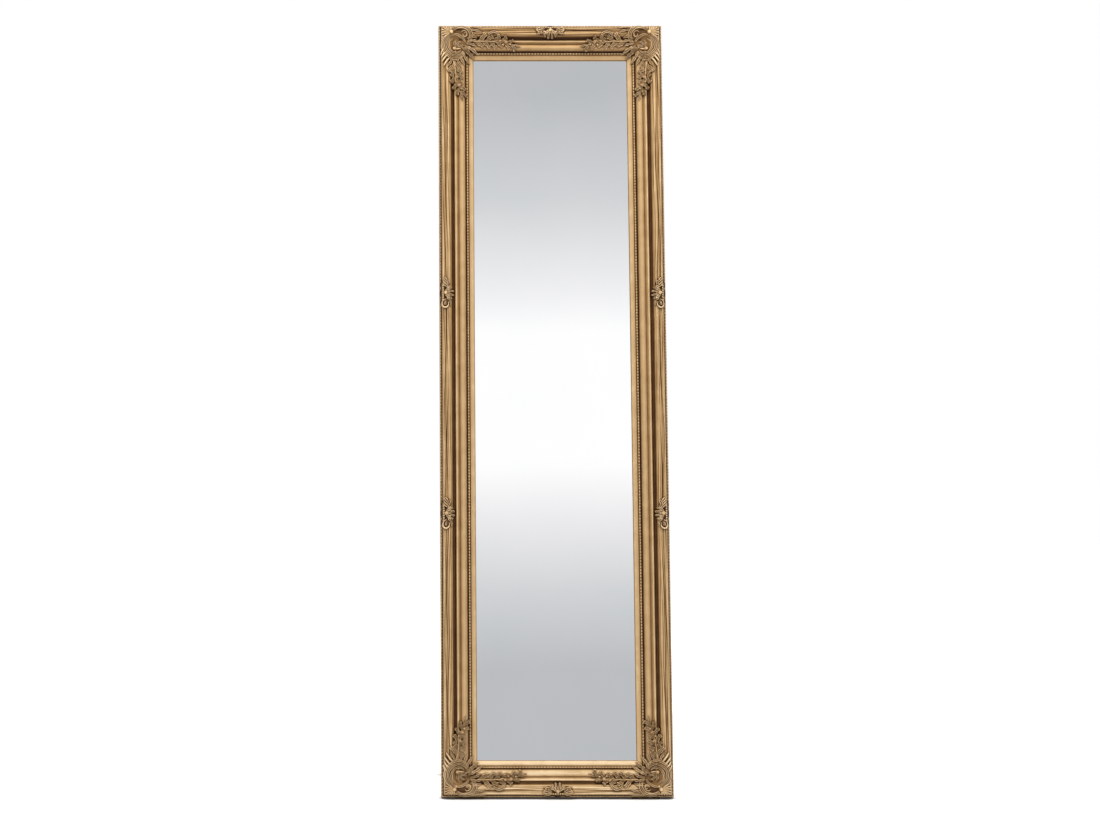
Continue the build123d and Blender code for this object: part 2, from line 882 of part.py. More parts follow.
# Dowels that join the legs to the two cross rails
cross_rails = {
    "strut_head_rail": (head_rail_drop, head_rail_height),
    "strut_foot_rail": (foot_rail_drop, foot_rail_height),
}
leg_centre = (leg_front + leg_back) / 2
with BuildPart() as dowels:
    for drop, height in cross_rails.values():
        for sign in sides.values():
            for step in (-dowel_spacing / 2, dowel_spacing / 2):
                up = step - drop - height / 2
                with BuildSketch(place(strut, (sign * leg_inner, up, leg_centre), (0, 1, 0), (1, 0, 0))):
                    Circle(dowel_radius)
    extrude(amount=dowel_length / 2, both=True)
keep(dowels, "strut_dowels")

# Strut legs, cut square above their rubber feet, and the feet cut level with the floor
leg_length = hinge_z / cos(radians(strut_angle)) - foot_length
strut_cutters = strut_eyes + flat_screws(hinge_strut_seats, slotted=False)
floor_plane = Plane.XY
for side, sign in sides.items():
    middle = sign * leg_middle
    with BuildPart() as leg:
        with BuildSketch(place(strut, (middle, -leg_head_gap, leg_centre), out=(0, -1, 0))):
            Rectangle(leg_width, leg_thickness)
        extrude(amount=leg_length - leg_head_gap)
        add(dowels.part, mode=Mode.SUBTRACT)
        for cutter in strut_cutters:
            add(cutter, mode=Mode.SUBTRACT)
    keep(leg, f"strut_leg_{side}")
    with BuildPart() as foot:
        with BuildSketch(place(strut, (middle, -leg_length, leg_centre), out=(0, -1, 0))):
            Rectangle(leg_width, leg_thickness)
        extrude(amount=3 * foot_length)
        split(bisect_by=floor_plane, keep=Keep.TOP)
    keep(foot, f"strut_foot_{side}")

for name, (drop, height) in cross_rails.items():
    with BuildPart() as cross_rail:
        with BuildSketch(place(strut, (0, -drop - height / 2, leg_centre - rail_thickness / 2))):
            Rectangle(2 * leg_inner, height)
        extrude(amount=rail_thickness)
        add(dowels.part, mode=Mode.SUBTRACT)
    keep(cross_rail, name)

for name, eyes in (("chain_eyes_frame", frame_eyes), ("chain_eyes_strut", strut_eyes)):
    with BuildPart() as eye_pair:
        for eye in eyes:
            add(eye)
    keep(eye_pair, name)

# Ring hangers: a plate with a rolled loop, and a ring that hangs straight down from it
loop_bore = ring_wire_radius + running_clearance
loop_radius = loop_bore + hanger_plate_thickness
for side, sign in sides.items():
    x = sign * hanger_side
    pivot = face.from_local_coords(Vector(x, hanger_height, -loop_radius))
    loop_plane = place(face, (x, hanger_height, -loop_radius), (0, 1, 0), (1, 0, 0))
    with BuildPart() as plate:
        middle = hanger_height + hanger_plate_length / 2
        with BuildSketch(place(face, (x, middle, -hanger_plate_thickness))):
            Rectangle(hanger_plate_width, hanger_plate_length)
        extrude(amount=hanger_plate_thickness)
        with BuildSketch(loop_plane):
            Circle(loop_radius)
        extrude(amount=hanger_loop_width / 2, both=True)
        with BuildSketch(loop_plane):
            Circle(loop_bore)
        extrude(amount=hanger_plate_width, both=True, mode=Mode.SUBTRACT)
        for cutter in pan_screws(hanger_screw_seats, screw_length, slotted=False):
            add(cutter, mode=Mode.SUBTRACT)
    keep(plate, f"hanger_plate_{side}")
    hanging = Plane(origin=pivot - Vector(0, 0, ring_drop / 2), x_dir=(1, 0, 0), z_dir=(0, -1, 0))
    with BuildSketch(hanging) as ring_shape:
        RectangleRounded(ring_width, ring_drop, ring_bend_radius)
    ring_line = ring_shape.sketch.faces()[0].outer_wire()
    with BuildPart() as ring:
        with BuildSketch(Plane(origin=ring_line @ 0, z_dir=ring_line % 0)):
            Circle(ring_wire_radius)
        sweep(path=ring_line)
    keep(ring, f"hanger_ring_{side}")

with BuildPart() as hanger_screws:
    for screw in pan_screws(hanger_screw_seats, screw_length):
        add(screw)
keep(hanger_screws, "hanger_screws")

print("strut opens by", round(open_angle, 3), "degrees about", [round(v, 3) for v in strut.origin])
print("button pivots", [tuple(round(v, 3) for v in seat.origin) for seat in button_screw_seats])
print("ring pivot", [round(v, 3) for v in pivot])
print("leg angle from upright", round(degrees(radians(strut_angle)), 3))
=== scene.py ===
import json
import math

import bmesh
import bpy
import numpy as np
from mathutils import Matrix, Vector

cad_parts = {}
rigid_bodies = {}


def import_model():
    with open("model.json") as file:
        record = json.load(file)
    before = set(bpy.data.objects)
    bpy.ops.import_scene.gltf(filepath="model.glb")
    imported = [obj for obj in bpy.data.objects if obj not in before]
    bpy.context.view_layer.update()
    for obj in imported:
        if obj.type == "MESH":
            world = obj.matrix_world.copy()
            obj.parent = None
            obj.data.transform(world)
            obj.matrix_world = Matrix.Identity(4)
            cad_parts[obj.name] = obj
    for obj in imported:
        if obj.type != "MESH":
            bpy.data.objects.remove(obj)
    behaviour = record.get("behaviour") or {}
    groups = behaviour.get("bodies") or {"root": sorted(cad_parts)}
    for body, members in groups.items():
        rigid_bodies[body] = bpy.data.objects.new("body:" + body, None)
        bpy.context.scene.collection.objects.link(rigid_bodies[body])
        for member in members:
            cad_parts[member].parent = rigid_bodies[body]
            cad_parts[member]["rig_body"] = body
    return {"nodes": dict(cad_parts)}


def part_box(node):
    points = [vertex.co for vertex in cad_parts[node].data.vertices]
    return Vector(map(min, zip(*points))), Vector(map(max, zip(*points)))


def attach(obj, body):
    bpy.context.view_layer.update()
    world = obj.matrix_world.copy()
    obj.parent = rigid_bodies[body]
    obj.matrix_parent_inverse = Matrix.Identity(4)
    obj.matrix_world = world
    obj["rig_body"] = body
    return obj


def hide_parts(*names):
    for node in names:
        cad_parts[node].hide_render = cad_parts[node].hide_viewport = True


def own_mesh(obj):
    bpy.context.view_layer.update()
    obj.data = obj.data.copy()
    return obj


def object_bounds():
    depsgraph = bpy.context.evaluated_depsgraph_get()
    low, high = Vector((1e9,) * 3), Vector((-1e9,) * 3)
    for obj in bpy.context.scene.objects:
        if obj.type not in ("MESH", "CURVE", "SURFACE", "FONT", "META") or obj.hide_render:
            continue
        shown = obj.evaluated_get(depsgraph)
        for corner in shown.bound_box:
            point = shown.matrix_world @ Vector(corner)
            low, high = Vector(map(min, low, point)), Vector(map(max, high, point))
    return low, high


bl_info = {
    "name": "Gilt floor mirror",
    "version": (1, 0, 0),
    "blender": (4, 5, 0),
    "location": "3D View > Sidebar > Mirror",
    "description": "Mouldings, ornaments, glass and fittings of a leaning gilt floor mirror",
    "category": "Add Mesh",
}

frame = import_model()
cad_box = [list(corner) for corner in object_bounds()]

MM = 0.001
WIDTH = 500.0
HEIGHT = 1710.0
LEAN = math.radians(7.3)
STILE_LOW, STILE_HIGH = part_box("left_stile")
FLOOR_GAP = STILE_LOW.z / MM
BACK_Y = STILE_HIGH.y / MM - HEIGHT * math.sin(LEAN)

# Bands of the moulding in millimetres: distance in from the outer edge, height above the back
RIM_END = 4.4
SWELL_VALLEY = 13.5
RIDGE_END = 26.0
COVE_END = 35.0
FILLET_END = 39.0
GROOVE_END = 43.5
INNER_RIDGE_END = 59.0
BEAD_START = 60.6
BEAD_END = 66.0
LIP_START = 67.0
MOULDING_WIDTH = 78.0
REBATE_EDGE = 70.0
REBATE_LEVEL = 8.4

# Castings: the forms start this far under their seat, but stay clear of the back
FORM_FOOT = -5.0
BACK_LIMIT = 1.0
# Relief above the knee keeps a share of its height, and none stands above the limit
FRONT_KNEE = 34.4
KNEE_SHARE = 0.55
FRONT_LIMIT = 38.0
# The middle of a side ornament's box lies this far above the back
ORNAMENT_LEVEL = 30.0

# Stay chains: links in each, points round a link and round its wire; then in metres the radius of
# the wire and of a link's bends, and how near its end the CAD chain's end points lie
LINK_COUNT, LINK_STEPS, WIRE_SIDES = 14, 28, 8
WIRE_RADIUS, LINK_BEND, END_REACH = 0.001, 0.003, 0.0012


def face_points(x, s, n):
    """Row-frame points of the leaning face: x right, s up its back, n out of its back, in mm."""
    y = BACK_Y + s * math.sin(LEAN) - n * math.cos(LEAN)
    z = FLOOR_GAP + s * math.cos(LEAN) + n * math.sin(LEAN)
    return np.stack(np.broadcast_arrays(x, y, z), axis=-1) * MM


def make_piece(name, points, faces, shades, materials, sharp, slots=None):
    """A mesh object from points, faces and a 'recess' value at each point, normals outward.

    Edges that bend by more than sharp degrees stay sharp; slots gives each face its material.
    """
    mesh = bpy.data.meshes.new(name)
    mesh.from_pydata(points.reshape(-1, 3).tolist(), [], faces)
    solid = bmesh.new()
    solid.from_mesh(mesh)
    bmesh.ops.recalc_face_normals(solid, faces=solid.faces)
    solid.to_mesh(mesh)
    solid.free()
    recess = mesh.attributes.new("recess", "FLOAT", "POINT")
    recess.data.foreach_set("value", np.asarray(shades, np.float32).ravel())
    for material in materials:
        mesh.materials.append(material)
    if slots is not None:
        mesh.polygons.foreach_set("material_index", np.asarray(slots, np.int32))
    mesh.polygons.foreach_set("use_smooth", np.ones(len(mesh.polygons), bool))
    mesh.set_sharp_from_angle(angle=math.radians(sharp))
    piece = bpy.data.objects.new(name, mesh)
    bpy.context.scene.collection.objects.link(piece)
    return piece


def tube_faces(rows, ring, offset=0, closed=False):
    """Four-sided faces of a grid of rings, and a flat face over each open end."""
    index = np.arange(rows * ring).reshape(rows, ring) + offset
    after = np.roll(index, -1, axis=1)
    if closed:
        ahead = np.roll(index, -1, axis=0)
        quads = np.stack([index, after, np.roll(after, -1, axis=0), ahead], axis=-1)
        return quads.reshape(-1, 4).tolist()
    quads = np.stack([index[:-1], after[:-1], after[1:], index[1:]], axis=-1)
    return quads.reshape(-1, 4).tolist() + [index[0][::-1].tolist(), index[-1].tolist()]


# Colours and materials


def linear(hex_colour):
    """The linear colour of an sRGB hex value."""
    channels = [int(hex_colour[i : i + 2], 16) / 255 for i in (1, 3, 5)]
    return [c / 12.92 if c <= 0.04045 else ((c + 0.055) / 1.055) ** 2.4 for c in channels] + [1.0]


def per_mm(size):
    """A pattern scale for features of a size in millimetres, on coordinates in metres."""
    return 1.0 / (size * MM)


def add_node(tree, kind, settings=(), inputs=()):
    """A node with its settings, its colour stops, and its input values or links."""
    node = tree.nodes.new(kind)
    for key, value in dict(settings).items():
        if key != "stops":
            setattr(node, key, value)
            continue
        elements = node.color_ramp.elements
        for element, (position, colour) in zip((elements[0], elements[1]), (value[0], value[-1])):
            element.position = position
            element.color = linear(colour)
        for position, colour in value[1:-1]:
            elements.new(position).color = linear(colour)
    for key, value in dict(inputs).items():
        if isinstance(value, bpy.types.NodeSocket):
            tree.links.new(value, node.inputs[key])
        else:
            node.inputs[key].default_value = value
    return node


def new_material(name):
    """An empty node material with its tree, shader and Object coordinates."""
    material = bpy.data.materials.new(name)
    material.use_nodes = True
    tree = material.node_tree
    shader = tree.nodes["Principled BSDF"]
    place = add_node(tree, "ShaderNodeTexCoord").outputs["Object"]
    return material, tree, shader, place


def grained(name, stops, feature, stretch=(1, 1, 1), turn=0.0, metallic=0.0, roughness=(0.4, 0.6),
            bump=0.1, detail=4.0):
    """A material whose colour, roughness and relief follow one stretched noise pattern."""
    material, tree, shader, place = new_material(name)
    mapped = add_node(tree, "ShaderNodeMapping", inputs={
        "Vector": place, "Rotation": (turn, 0, 0), "Scale": stretch})
    noise = add_node(tree, "ShaderNodeTexNoise", inputs={
        "Vector": mapped.outputs[0], "Scale": per_mm(feature), "Detail": detail})
    colour = add_node(tree, "ShaderNodeValToRGB", {"stops": stops}, {0: noise.outputs[0]})
    rough = add_node(tree, "ShaderNodeMapRange", inputs={
        "Value": noise.outputs[0], "To Min": roughness[0], "To Max": roughness[1]})
    relief = add_node(tree, "ShaderNodeBump", inputs={
        "Strength": bump, "Distance": 0.0005, "Height": noise.outputs[0]})
    shader.inputs["Metallic"].default_value = metallic
    tree.links.new(colour.outputs[0], shader.inputs["Base Color"])
    tree.links.new(rough.outputs[0], shader.inputs["Roughness"])
    tree.links.new(relief.outputs[0], shader.inputs["Normal"])
    return material


def gilt_gesso():
    """Moulded gesso with rubbed gold paint: satin gold on high parts, umber patina and painted shade
    in recesses, and worn gold that is also a painted highlight on the crests.

    The share of umber is the drawn recess (patina and painted shade), plus painted shade from the
    hollow seen by ambient occlusion, plus two noises whose mean is taken off again.
    """
    looks = bpy.context.scene.gilt_mirror
    cloud_share, grit_share, hollow_reach = 0.30, 0.16, 0.005
    material, tree, shader, place = new_material("rubbed_gold_gesso")
    recess = add_node(tree, "ShaderNodeAttribute", {"attribute_name": "recess"}).outputs["Fac"]
    cloud = add_node(tree, "ShaderNodeTexNoise", inputs={
        "Vector": place, "Scale": per_mm(28.0), "Detail": 5.0})
    grit = add_node(tree, "ShaderNodeTexNoise", inputs={
        "Vector": place, "Scale": per_mm(1.6), "Detail": 3.0})
    # Painted shade: ambient occlusion darkens the colour in hollows and between forms, on top of the
    # patina
    shadow = add_node(tree, "ShaderNodeAmbientOcclusion", {"samples": 8}, {
        "Distance": hollow_reach})
    hollow = add_node(tree, "ShaderNodeMath", {"operation": "SUBTRACT"}, {
        0: 1.0, 1: shadow.outputs["AO"]})
    hollow = add_node(tree, "ShaderNodeMath", {"operation": "MULTIPLY_ADD"}, {
        0: hollow.outputs[0], 1: looks.patina_and_shade_depth, 2: recess})
    mottled = add_node(tree, "ShaderNodeMath", {"operation": "MULTIPLY_ADD"}, {
        0: cloud.outputs[0], 1: cloud_share, 2: hollow.outputs[0]})
    speckled = add_node(tree, "ShaderNodeMath", {"operation": "MULTIPLY_ADD"}, {
        0: grit.outputs[0], 1: grit_share, 2: mottled.outputs[0]})
    centred = add_node(tree, "ShaderNodeMath", {"operation": "SUBTRACT", "use_clamp": True}, {
        0: speckled.outputs[0], 1: (cloud_share + grit_share) / 2})
    # Worn gold at zero is also a painted highlight on crests; umber at one is patina and painted
    # shade
    colour = add_node(tree, "ShaderNodeValToRGB", {"stops": [
        (0.0, looks.gold_worn_highlight), (0.14, looks.gold_light), (0.34, looks.gold_middle),
        (0.64, looks.gold_dark), (1.0, looks.umber_and_shade)]}, {0: centred.outputs[0]})
    rough = add_node(tree, "ShaderNodeMapRange", inputs={
        "Value": centred.outputs[0], "To Min": 0.40, "To Max": 0.72})
    relief = add_node(tree, "ShaderNodeBump", inputs={
        "Strength": 0.22, "Distance": 0.0004, "Height": grit.outputs[0]})
    shader.inputs["Metallic"].default_value = 0.30
    tree.links.new(colour.outputs[0], shader.inputs["Base Color"])
    tree.links.new(rough.outputs[0], shader.inputs["Roughness"])
    tree.links.new(relief.outputs[0], shader.inputs["Normal"])
    return material


def silvered_glass():
    """Float glass silvered on its back: a clear cool reflection with a faint wipe of dust."""
    material, tree, shader, place = new_material("silvered_float_glass")
    wipe = add_node(tree, "ShaderNodeTexNoise", inputs={
        "Vector": place, "Scale": per_mm(180.0), "Detail": 3.0})
    colour = add_node(tree, "ShaderNodeValToRGB", {"stops": [
        (0.3, "#FFFFFF"), (0.7, "#FCFDFD")]}, {0: wipe.outputs[0]})
    rough = add_node(tree, "ShaderNodeMapRange", inputs={
        "Value": wipe.outputs[0], "To Min": 0.0, "To Max": 0.012})
    shader.inputs["Metallic"].default_value = 1.0
    tree.links.new(colour.outputs[0], shader.inputs["Base Color"])
    tree.links.new(rough.outputs[0], shader.inputs["Roughness"])
    return material


def shared(name, maker):
    """One material of each kind, made when it is first asked for."""
    return bpy.data.materials.get(name) or maker()


def gilt():
    """The gilt finish shared by mouldings, beads and ornaments."""
    return shared("rubbed_gold_gesso", gilt_gesso)


def pine(name="planed_pine", turn=LEAN, stretch=(1.0, 1.0, 0.02)):
    """Planed pine: pale straw wood with darker growth lines along the length."""
    return shared(name, lambda: grained(
        name, [(0.25, "#C2935C"), (0.42, "#DDB983"), (0.60, "#E3C493"), (0.78, "#BC8B55")],
        5.0, stretch, turn, 0.0, (0.5, 0.68), 0.25, 6.0))


def cross_pine():
    """The same pine with its growth lines across the object."""
    return pine("planed_pine_across", 0.0, (0.02, 1.0, 1.0))


# Mouldings


def band(start, end, rise, steps):
    """Points from start to end, bowed outward by rise times four t (one minus t)."""
    t = np.linspace(0, 1, steps, endpoint=False)[:, None]
    bowed = np.array(start) * (1 - t) + np.array(end) * t
    bowed[:, 1:] += rise * 4 * t * (1 - t)
    return bowed


def moulding_face():
    """The moulding's gilt face as pairs of inset and height, band by band."""
    return np.vstack([
        band((0, 0.4), (0, 19.6), 0, 3),
        band((0, 19.6), (RIM_END, 19.6), 1.2, 7),
        band((RIM_END, 19.6), (4.8, 25), 0, 3),
        band((4.8, 25), (7.6, 30.9), 0.9, 6),
        band((7.6, 30.9), (SWELL_VALLEY, 29.2), 0.3, 9),
        band((SWELL_VALLEY, 29.2), (20.5, 29.9), 0.35, 11),
        band((20.5, 29.9), (RIDGE_END, 26.0), 1.2, 10),
        band((RIDGE_END, 26.0), (28.0, 21.6), 0.4, 4),
        band((28.0, 21.6), (28.9, 20.2), -0.3, 3),
        band((28.9, 20.2), (32.6, 20.2), -1.4, 6),
        band((32.6, 20.2), (33.4, 19.0), 0, 2),
        band((33.4, 19.0), (COVE_END, 22.0), 0.4, 4),
        band((COVE_END, 22.0), (FILLET_END, 22.0), 1.5, 6),
        band((FILLET_END, 22.0), (GROOVE_END, 19.4), -0.6, 5),
        band((GROOVE_END, 19.4), (INNER_RIDGE_END, 18.5), 4.9, 18),
        band((INNER_RIDGE_END, 18.5), (59.8, 13.6), 0, 3),
        band((59.8, 13.6), (BEAD_START, 15), 0, 2),
        band((BEAD_START, 15), (BEAD_END, 15), 0.6, 5),
        band((BEAD_END, 15), (66.5, 13.8), 0, 2),
        band((66.5, 13.8), (LIP_START, 15.5), 0, 2),
        band((LIP_START, 15.5), (MOULDING_WIDTH, 10.5), 0.8, 12),
        band((MOULDING_WIDTH, 10.5), (MOULDING_WIDTH, REBATE_LEVEL), 0, 2),
    ])


FACE_LINE = moulding_face()
# The face line's first points run up the outer side, which gets an even painted shade
SIDE_POINTS = 3
SIDE_PAINTED_SHADE = 0.35
BACK_LINE = np.array([
    (MOULDING_WIDTH, REBATE_LEVEL), (REBATE_EDGE, REBATE_LEVEL), (REBATE_EDGE, 0), (0, 0)])
# How much umber patina and painted shade each band gets, by distance in from the outer edge: most in
# grooves and quirks, least on crests
RECESS_KEYS = np.array([
    (0, 0.5), (2.2, 0.3), (4.4, 1.0), (5.6, 0.25), (7.6, 0.02), (10, 0.22), (12.6, 0.26),
    (13.5, 0.46), (15, 0.26), (20, 0.06), (22, 0.12), (25, 0.26), (26.6, 0.6), (28.5, 1.0),
    (29.6, 0.74), (32, 0.72), (33.3, 1.0), (34.6, 0.35), (37, 0.0), (39.5, 0.28), (43.4, 0.55),
    (46, 0.28), (51, 0.16), (57, 0.34), (59.3, 1.0), (60.6, 0.9), (62, 0.6), (65, 0.6),
    (66.4, 1.0), (67.5, 0.38), (70, 0.2), (74, 0.1), (76.5, 0.14), (78, 0.9)])
# Umber patina and painted shade in a swept line, for each millimetre of its depth
SWEPT_UMBER_AND_SHADE = 0.95
# Painted shade added to a whole rail, or painted light taken off it: the top rail darker and the
# bottom rail lighter, as the light falls from above
RAIL_PAINTED_SHADING = {"top_rail": 0.14, "bottom_rail": -0.17, "left_stile": 0.03, "right_stile": 0.03}
# The face's height at every half millimetre, and the smoothed line on which the castings sit
TOP_INSETS = np.arange(0, MOULDING_WIDTH + 0.5, 0.5)
TOP_LINE = np.interp(TOP_INSETS, FACE_LINE[SIDE_POINTS:, 0], FACE_LINE[SIDE_POINTS:, 1])
SEAT_SPAN = 13
SEAT_LINE = np.convolve(np.pad(TOP_LINE, SEAT_SPAN, "edge"),
                        np.ones(2 * SEAT_SPAN + 1) / (2 * SEAT_SPAN + 1), "valid")
SEAT_LINE = np.maximum(SEAT_LINE, TOP_LINE - 0.2)

# Long swept lines in the outer ridge: place, swing and wave length in mm, depth and phase
SWEPT_LINES = [
    (7.0, 0.9, 310, 0.55, 0.4), (10.6, 1.5, 240, 0.8, 1.9), (13.6, 1.8, 390, 0.7, 3.3),
    (16.6, 1.7, 280, 0.95, 0.2), (20.0, 1.3, 330, 0.6, 2.6), (23.2, 0.8, 260, 0.75, 4.4)]


def swept_relief(t, u, length, seed):
    """Depth of the swept lines at length t and inset u: valleys along slow sines, faded at ends."""
    depth = np.zeros(np.broadcast(t, u).shape)
    for place, swing, wave, deep, phase in SWEPT_LINES:
        centre = place + swing * np.sin(2 * np.pi * t / wave + phase + seed)
        strength = 0.45 + 0.55 * np.sin(2 * np.pi * t / (1.7 * wave) + 2.1 * phase + seed) ** 2
        depth += deep * strength * np.exp(-((u - centre) / 0.75) ** 2)
    ends = np.clip(np.minimum(t, length - t) / 60.0 - 0.6, 0, 1)
    band_share = np.clip((u - 5.5) / 1.5, 0, 1) * np.clip((25.5 - u) / 1.5, 0, 1)
    return depth * ends * band_share


# Each rail: its length, its cross sections, and how length and inset map to x and s
RAILS = {
    "left_stile": (HEIGHT, 380, lambda t, u: (u - WIDTH / 2, t)),
    "right_stile": (HEIGHT, 380, lambda t, u: (WIDTH / 2 - u, t)),
    "bottom_rail": (WIDTH, 150, lambda t, u: (t - WIDTH / 2, u)),
    "top_rail": (WIDTH, 150, lambda t, u: (t - WIDTH / 2, HEIGHT - u)),
}


class MIRROR_OT_mouldings(bpy.types.Operator):
    """Four mitred mouldings: one profile carried along each rail and cut at 45 degrees."""

    bl_idname = "gilt_mirror.mouldings"
    bl_label = "Mouldings"

    def execute(self, context):
        line = np.vstack([FACE_LINE, BACK_LINE])
        face_count = len(FACE_LINE)
        u, h = line[None, :, 0], line[None, :, 1]
        for seed, (name, (length, rows, spot)) in enumerate(RAILS.items()):
            share = np.linspace(0, 1, rows)[:, None]
            t = u + share * (length - 2 * u)
            relief = swept_relief(t, u, length, seed * 1.3)
            x, s = spot(t, u)
            points = face_points(x, s, h - relief)
            # The umber share below is patina and painted shade by band and in the swept lines,
            # painted shading by rail, and painted shade on the outer side
            recess = np.interp(u, RECESS_KEYS[:, 0], RECESS_KEYS[:, 1]) + RAIL_PAINTED_SHADING[name]
            recess = recess + SWEPT_UMBER_AND_SHADE * relief
            recess = np.where(np.arange(len(line))[None, :] < SIDE_POINTS, SIDE_PAINTED_SHADE, recess)
            faces = tube_faces(rows, len(line))
            column = np.tile(np.arange(len(line)), rows - 1)
            slots = np.append((column >= face_count - 1).astype(int), [1, 1])
            piece = make_piece(f"{name}_moulding", points, faces, np.clip(recess, 0, 1),
                               [gilt(), cross_pine() if length == WIDTH else pine()], 34.0, slots)
            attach(piece, "frame")
            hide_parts(name)
        return {"FINISHED"}


def bead_row(spot, length, inset, seat, pitch, sizes, start):
    """Ellipsoid beads along a rail: sizes are half length, half width and height.

    The beads' middles lie at one inset and at the seat's height, and start is left bare at each end.
    """
    count = int((length - 2 * start) / pitch)
    middles = start + (np.arange(count) + 0.5) * (length - 2 * start) / count
    rings, sides = 5, 8
    turns = np.linspace(0, 2 * np.pi, sides, endpoint=False)
    tilt = np.linspace(0.06, 0.94, rings)[:, None] * np.pi
    along = sizes[0] * np.cos(tilt) * np.ones_like(turns)
    across = sizes[1] * np.sin(tilt) * np.cos(turns)
    height = sizes[2] * np.sin(tilt) * np.sin(turns)
    x, s = spot(middles[:, None, None] + along, inset + across)
    points = face_points(x, s, seat + np.broadcast_to(height, x.shape))
    one_bead = tube_faces(rings, sides)
    faces = [[i + rings * sides * bead for i in face] for bead in range(count) for face in one_bead]
    # Painted shade: each bead darkens towards its foot, where it meets the moulding
    shade = 0.05 + 0.5 * (1 - np.clip(height / sizes[2], 0, 1)) ** 2
    return points.reshape(-1, 3), faces, np.tile(shade.ravel(), count)


class MIRROR_OT_beads(bpy.types.Operator):
    """Running beads on the outer rim and beside the sight edge, as rows of small ellipsoids."""

    bl_idname = "gilt_mirror.beads"
    bl_label = "Bead rows"

    def execute(self, context):
        # Each row's inset, seat and pitch, its beads' sizes, and the length left bare at each end
        rows = {"rim_beads": (2.25, 19.6, 7.0, (2.7, 2.0, 2.35), 7.0),
                "sight_beads": (63.3, 14.8, 6.6, (2.9, 2.0, 2.0), 68.0)}
        for row_name, (inset, seat, pitch, sizes, start) in rows.items():
            for name, (length, _, spot) in RAILS.items():
                points, faces, shades = bead_row(spot, length, inset, seat, pitch, sizes, start)
                piece = make_piece(f"{name}_{row_name}", points, faces, shades, [gilt()], 80.0)
                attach(piece, "frame")
        return {"FINISHED"}


# Carved ornaments, drawn in mm across and down from the frame's corner


def smooth_path(points, count):
    """A curve through the points; its tangent at each is half the way between its neighbours."""
    knots = np.array(points, float)
    before = np.vstack([2 * knots[0] - knots[1], knots[:-1]])
    after = np.vstack([knots[1:], 2 * knots[-1] - knots[-2]])
    tangents = (after - before) / 2
    place = np.linspace(0, len(knots) - 1.0001, count)
    i = place.astype(int)
    t = (place - i)[:, None]
    return ((2 * t**3 - 3 * t**2 + 1) * knots[i] + (t**3 - 2 * t**2 + t) * tangents[i]
            + (3 * t**2 - 2 * t**3) * knots[i + 1] + (t**3 - t**2) * tangents[i + 1])


def carved_stroke(points, width, height, ridges=2, lobes=0, taper="leaf", lift=0.0, depth=0.66):
    """A carved leaf, scroll or whip: a ridged section carried along a path, narrowed at its ends.

    Across, height follows one minus v to the sixth, less a cosine for the grooves between ridges.
    Along, width follows powers of t, with a cosine for edge lobes. A leaf is widest past its
    middle, a scroll keeps its width and a whip thins to its tip.
    """
    steps = max(12, 6 * len(points) + 3 * lobes)
    path = smooth_path(points, steps)
    t = np.linspace(0, 1, steps)[:, None]
    along = np.gradient(path, axis=0)
    along /= np.linalg.norm(along, axis=1, keepdims=True) + 1e-9
    side = np.stack([-along[:, 1], along[:, 0]], axis=1)
    if taper == "leaf":
        swell = (0.30 + 0.95 * t**0.6) * (1 - t**3.2) ** 0.62
    elif taper == "scroll":
        swell = (np.clip(4 * t * (1 - t), 0, 1)) ** 0.35
    else:
        swell = np.clip(1.02 - t, 0, 1) ** 0.5
    swell = np.clip(swell, 0.03, None)
    if lobes:
        swell = swell * (0.86 + 0.18 * np.cos(2 * np.pi * lobes * t))
    top = 4 * ridges + 3
    v = np.linspace(-1, 1, top)[None, :]
    groove = 0.5 + 0.5 * np.cos(np.pi * ridges * (v + 1))
    crown = (1 - np.abs(v) ** 6) * (1 - depth * groove)
    arch = np.clip(np.sin(np.pi * np.clip(t * 0.92 + 0.04, 0, 1)), 0, 1) ** 0.5
    rise = height * crown * (0.30 + 0.70 * arch) * np.clip(swell * 1.3, 0.25, 1)
    # Three points under the form close the section
    foot = np.array([[1.0, 0.0, -1.0]])
    v_ring = np.broadcast_to(np.concatenate([v, foot], axis=1), (steps, top + 3))
    spot = path[:, None, :] + side[:, None, :] * (v_ring * swell * width / 2)[:, :, None]
    n = np.concatenate([rise + lift, np.full((steps, 3), FORM_FOOT)], axis=1)
    # Painted shade in the grooves between ridges, and a painted highlight where the crests fall below
    # zero
    shade = np.concatenate([np.broadcast_to(groove**2.0 * 0.95 - 0.14, (steps, top)),
                            np.ones((steps, 3))], axis=1)
    return spot.reshape(-1, 2), n.ravel(), np.clip(shade, 0, 1).ravel(), steps, top + 3


def dome(centre, radius, height, petals=0, lift=0.0, umber_and_shade=0.0):
    """A round boss: height is one minus r squared to the power 0.6, with petals as a cosine.

    The last two of its rings are its underside.
    """
    r = np.concatenate([np.linspace(0.02, 1, 7), [0.98, 0.02]])[:, None]
    turn = np.linspace(0, 2 * np.pi, 25, endpoint=False)[None, :]
    spot = np.stack(np.broadcast_arrays(centre[0] + radius * r * np.cos(turn),
                                        centre[1] + radius * r * np.sin(turn)), axis=-1)
    petal = np.cos(petals * turn) * np.sin(np.pi * r) * (petals > 0)
    n = height * np.clip(1 - r**2, 0, 1) ** 0.6 * (1 + 0.16 * petal) + lift
    n[-2:] = FORM_FOOT
    # Painted shade towards the rim and between petals and a painted highlight on the petals, over the
    # umber and shade given
    shade = np.clip(0.06 + umber_and_shade + 0.7 * r**4 - 0.35 * petal, 0, 1)
    return spot.reshape(-1, 2), n.ravel(), shade.ravel(), *n.shape


def ground(height, umber_and_shade, *discs):
    """Low discs, as across, down and radius, that join an ornament's forms into one casting; their
    umber is patina and painted shade between the forms.
    """
    return [dome((a, b), radius, height, 0, 0.0, umber_and_shade) for a, b, radius in discs]


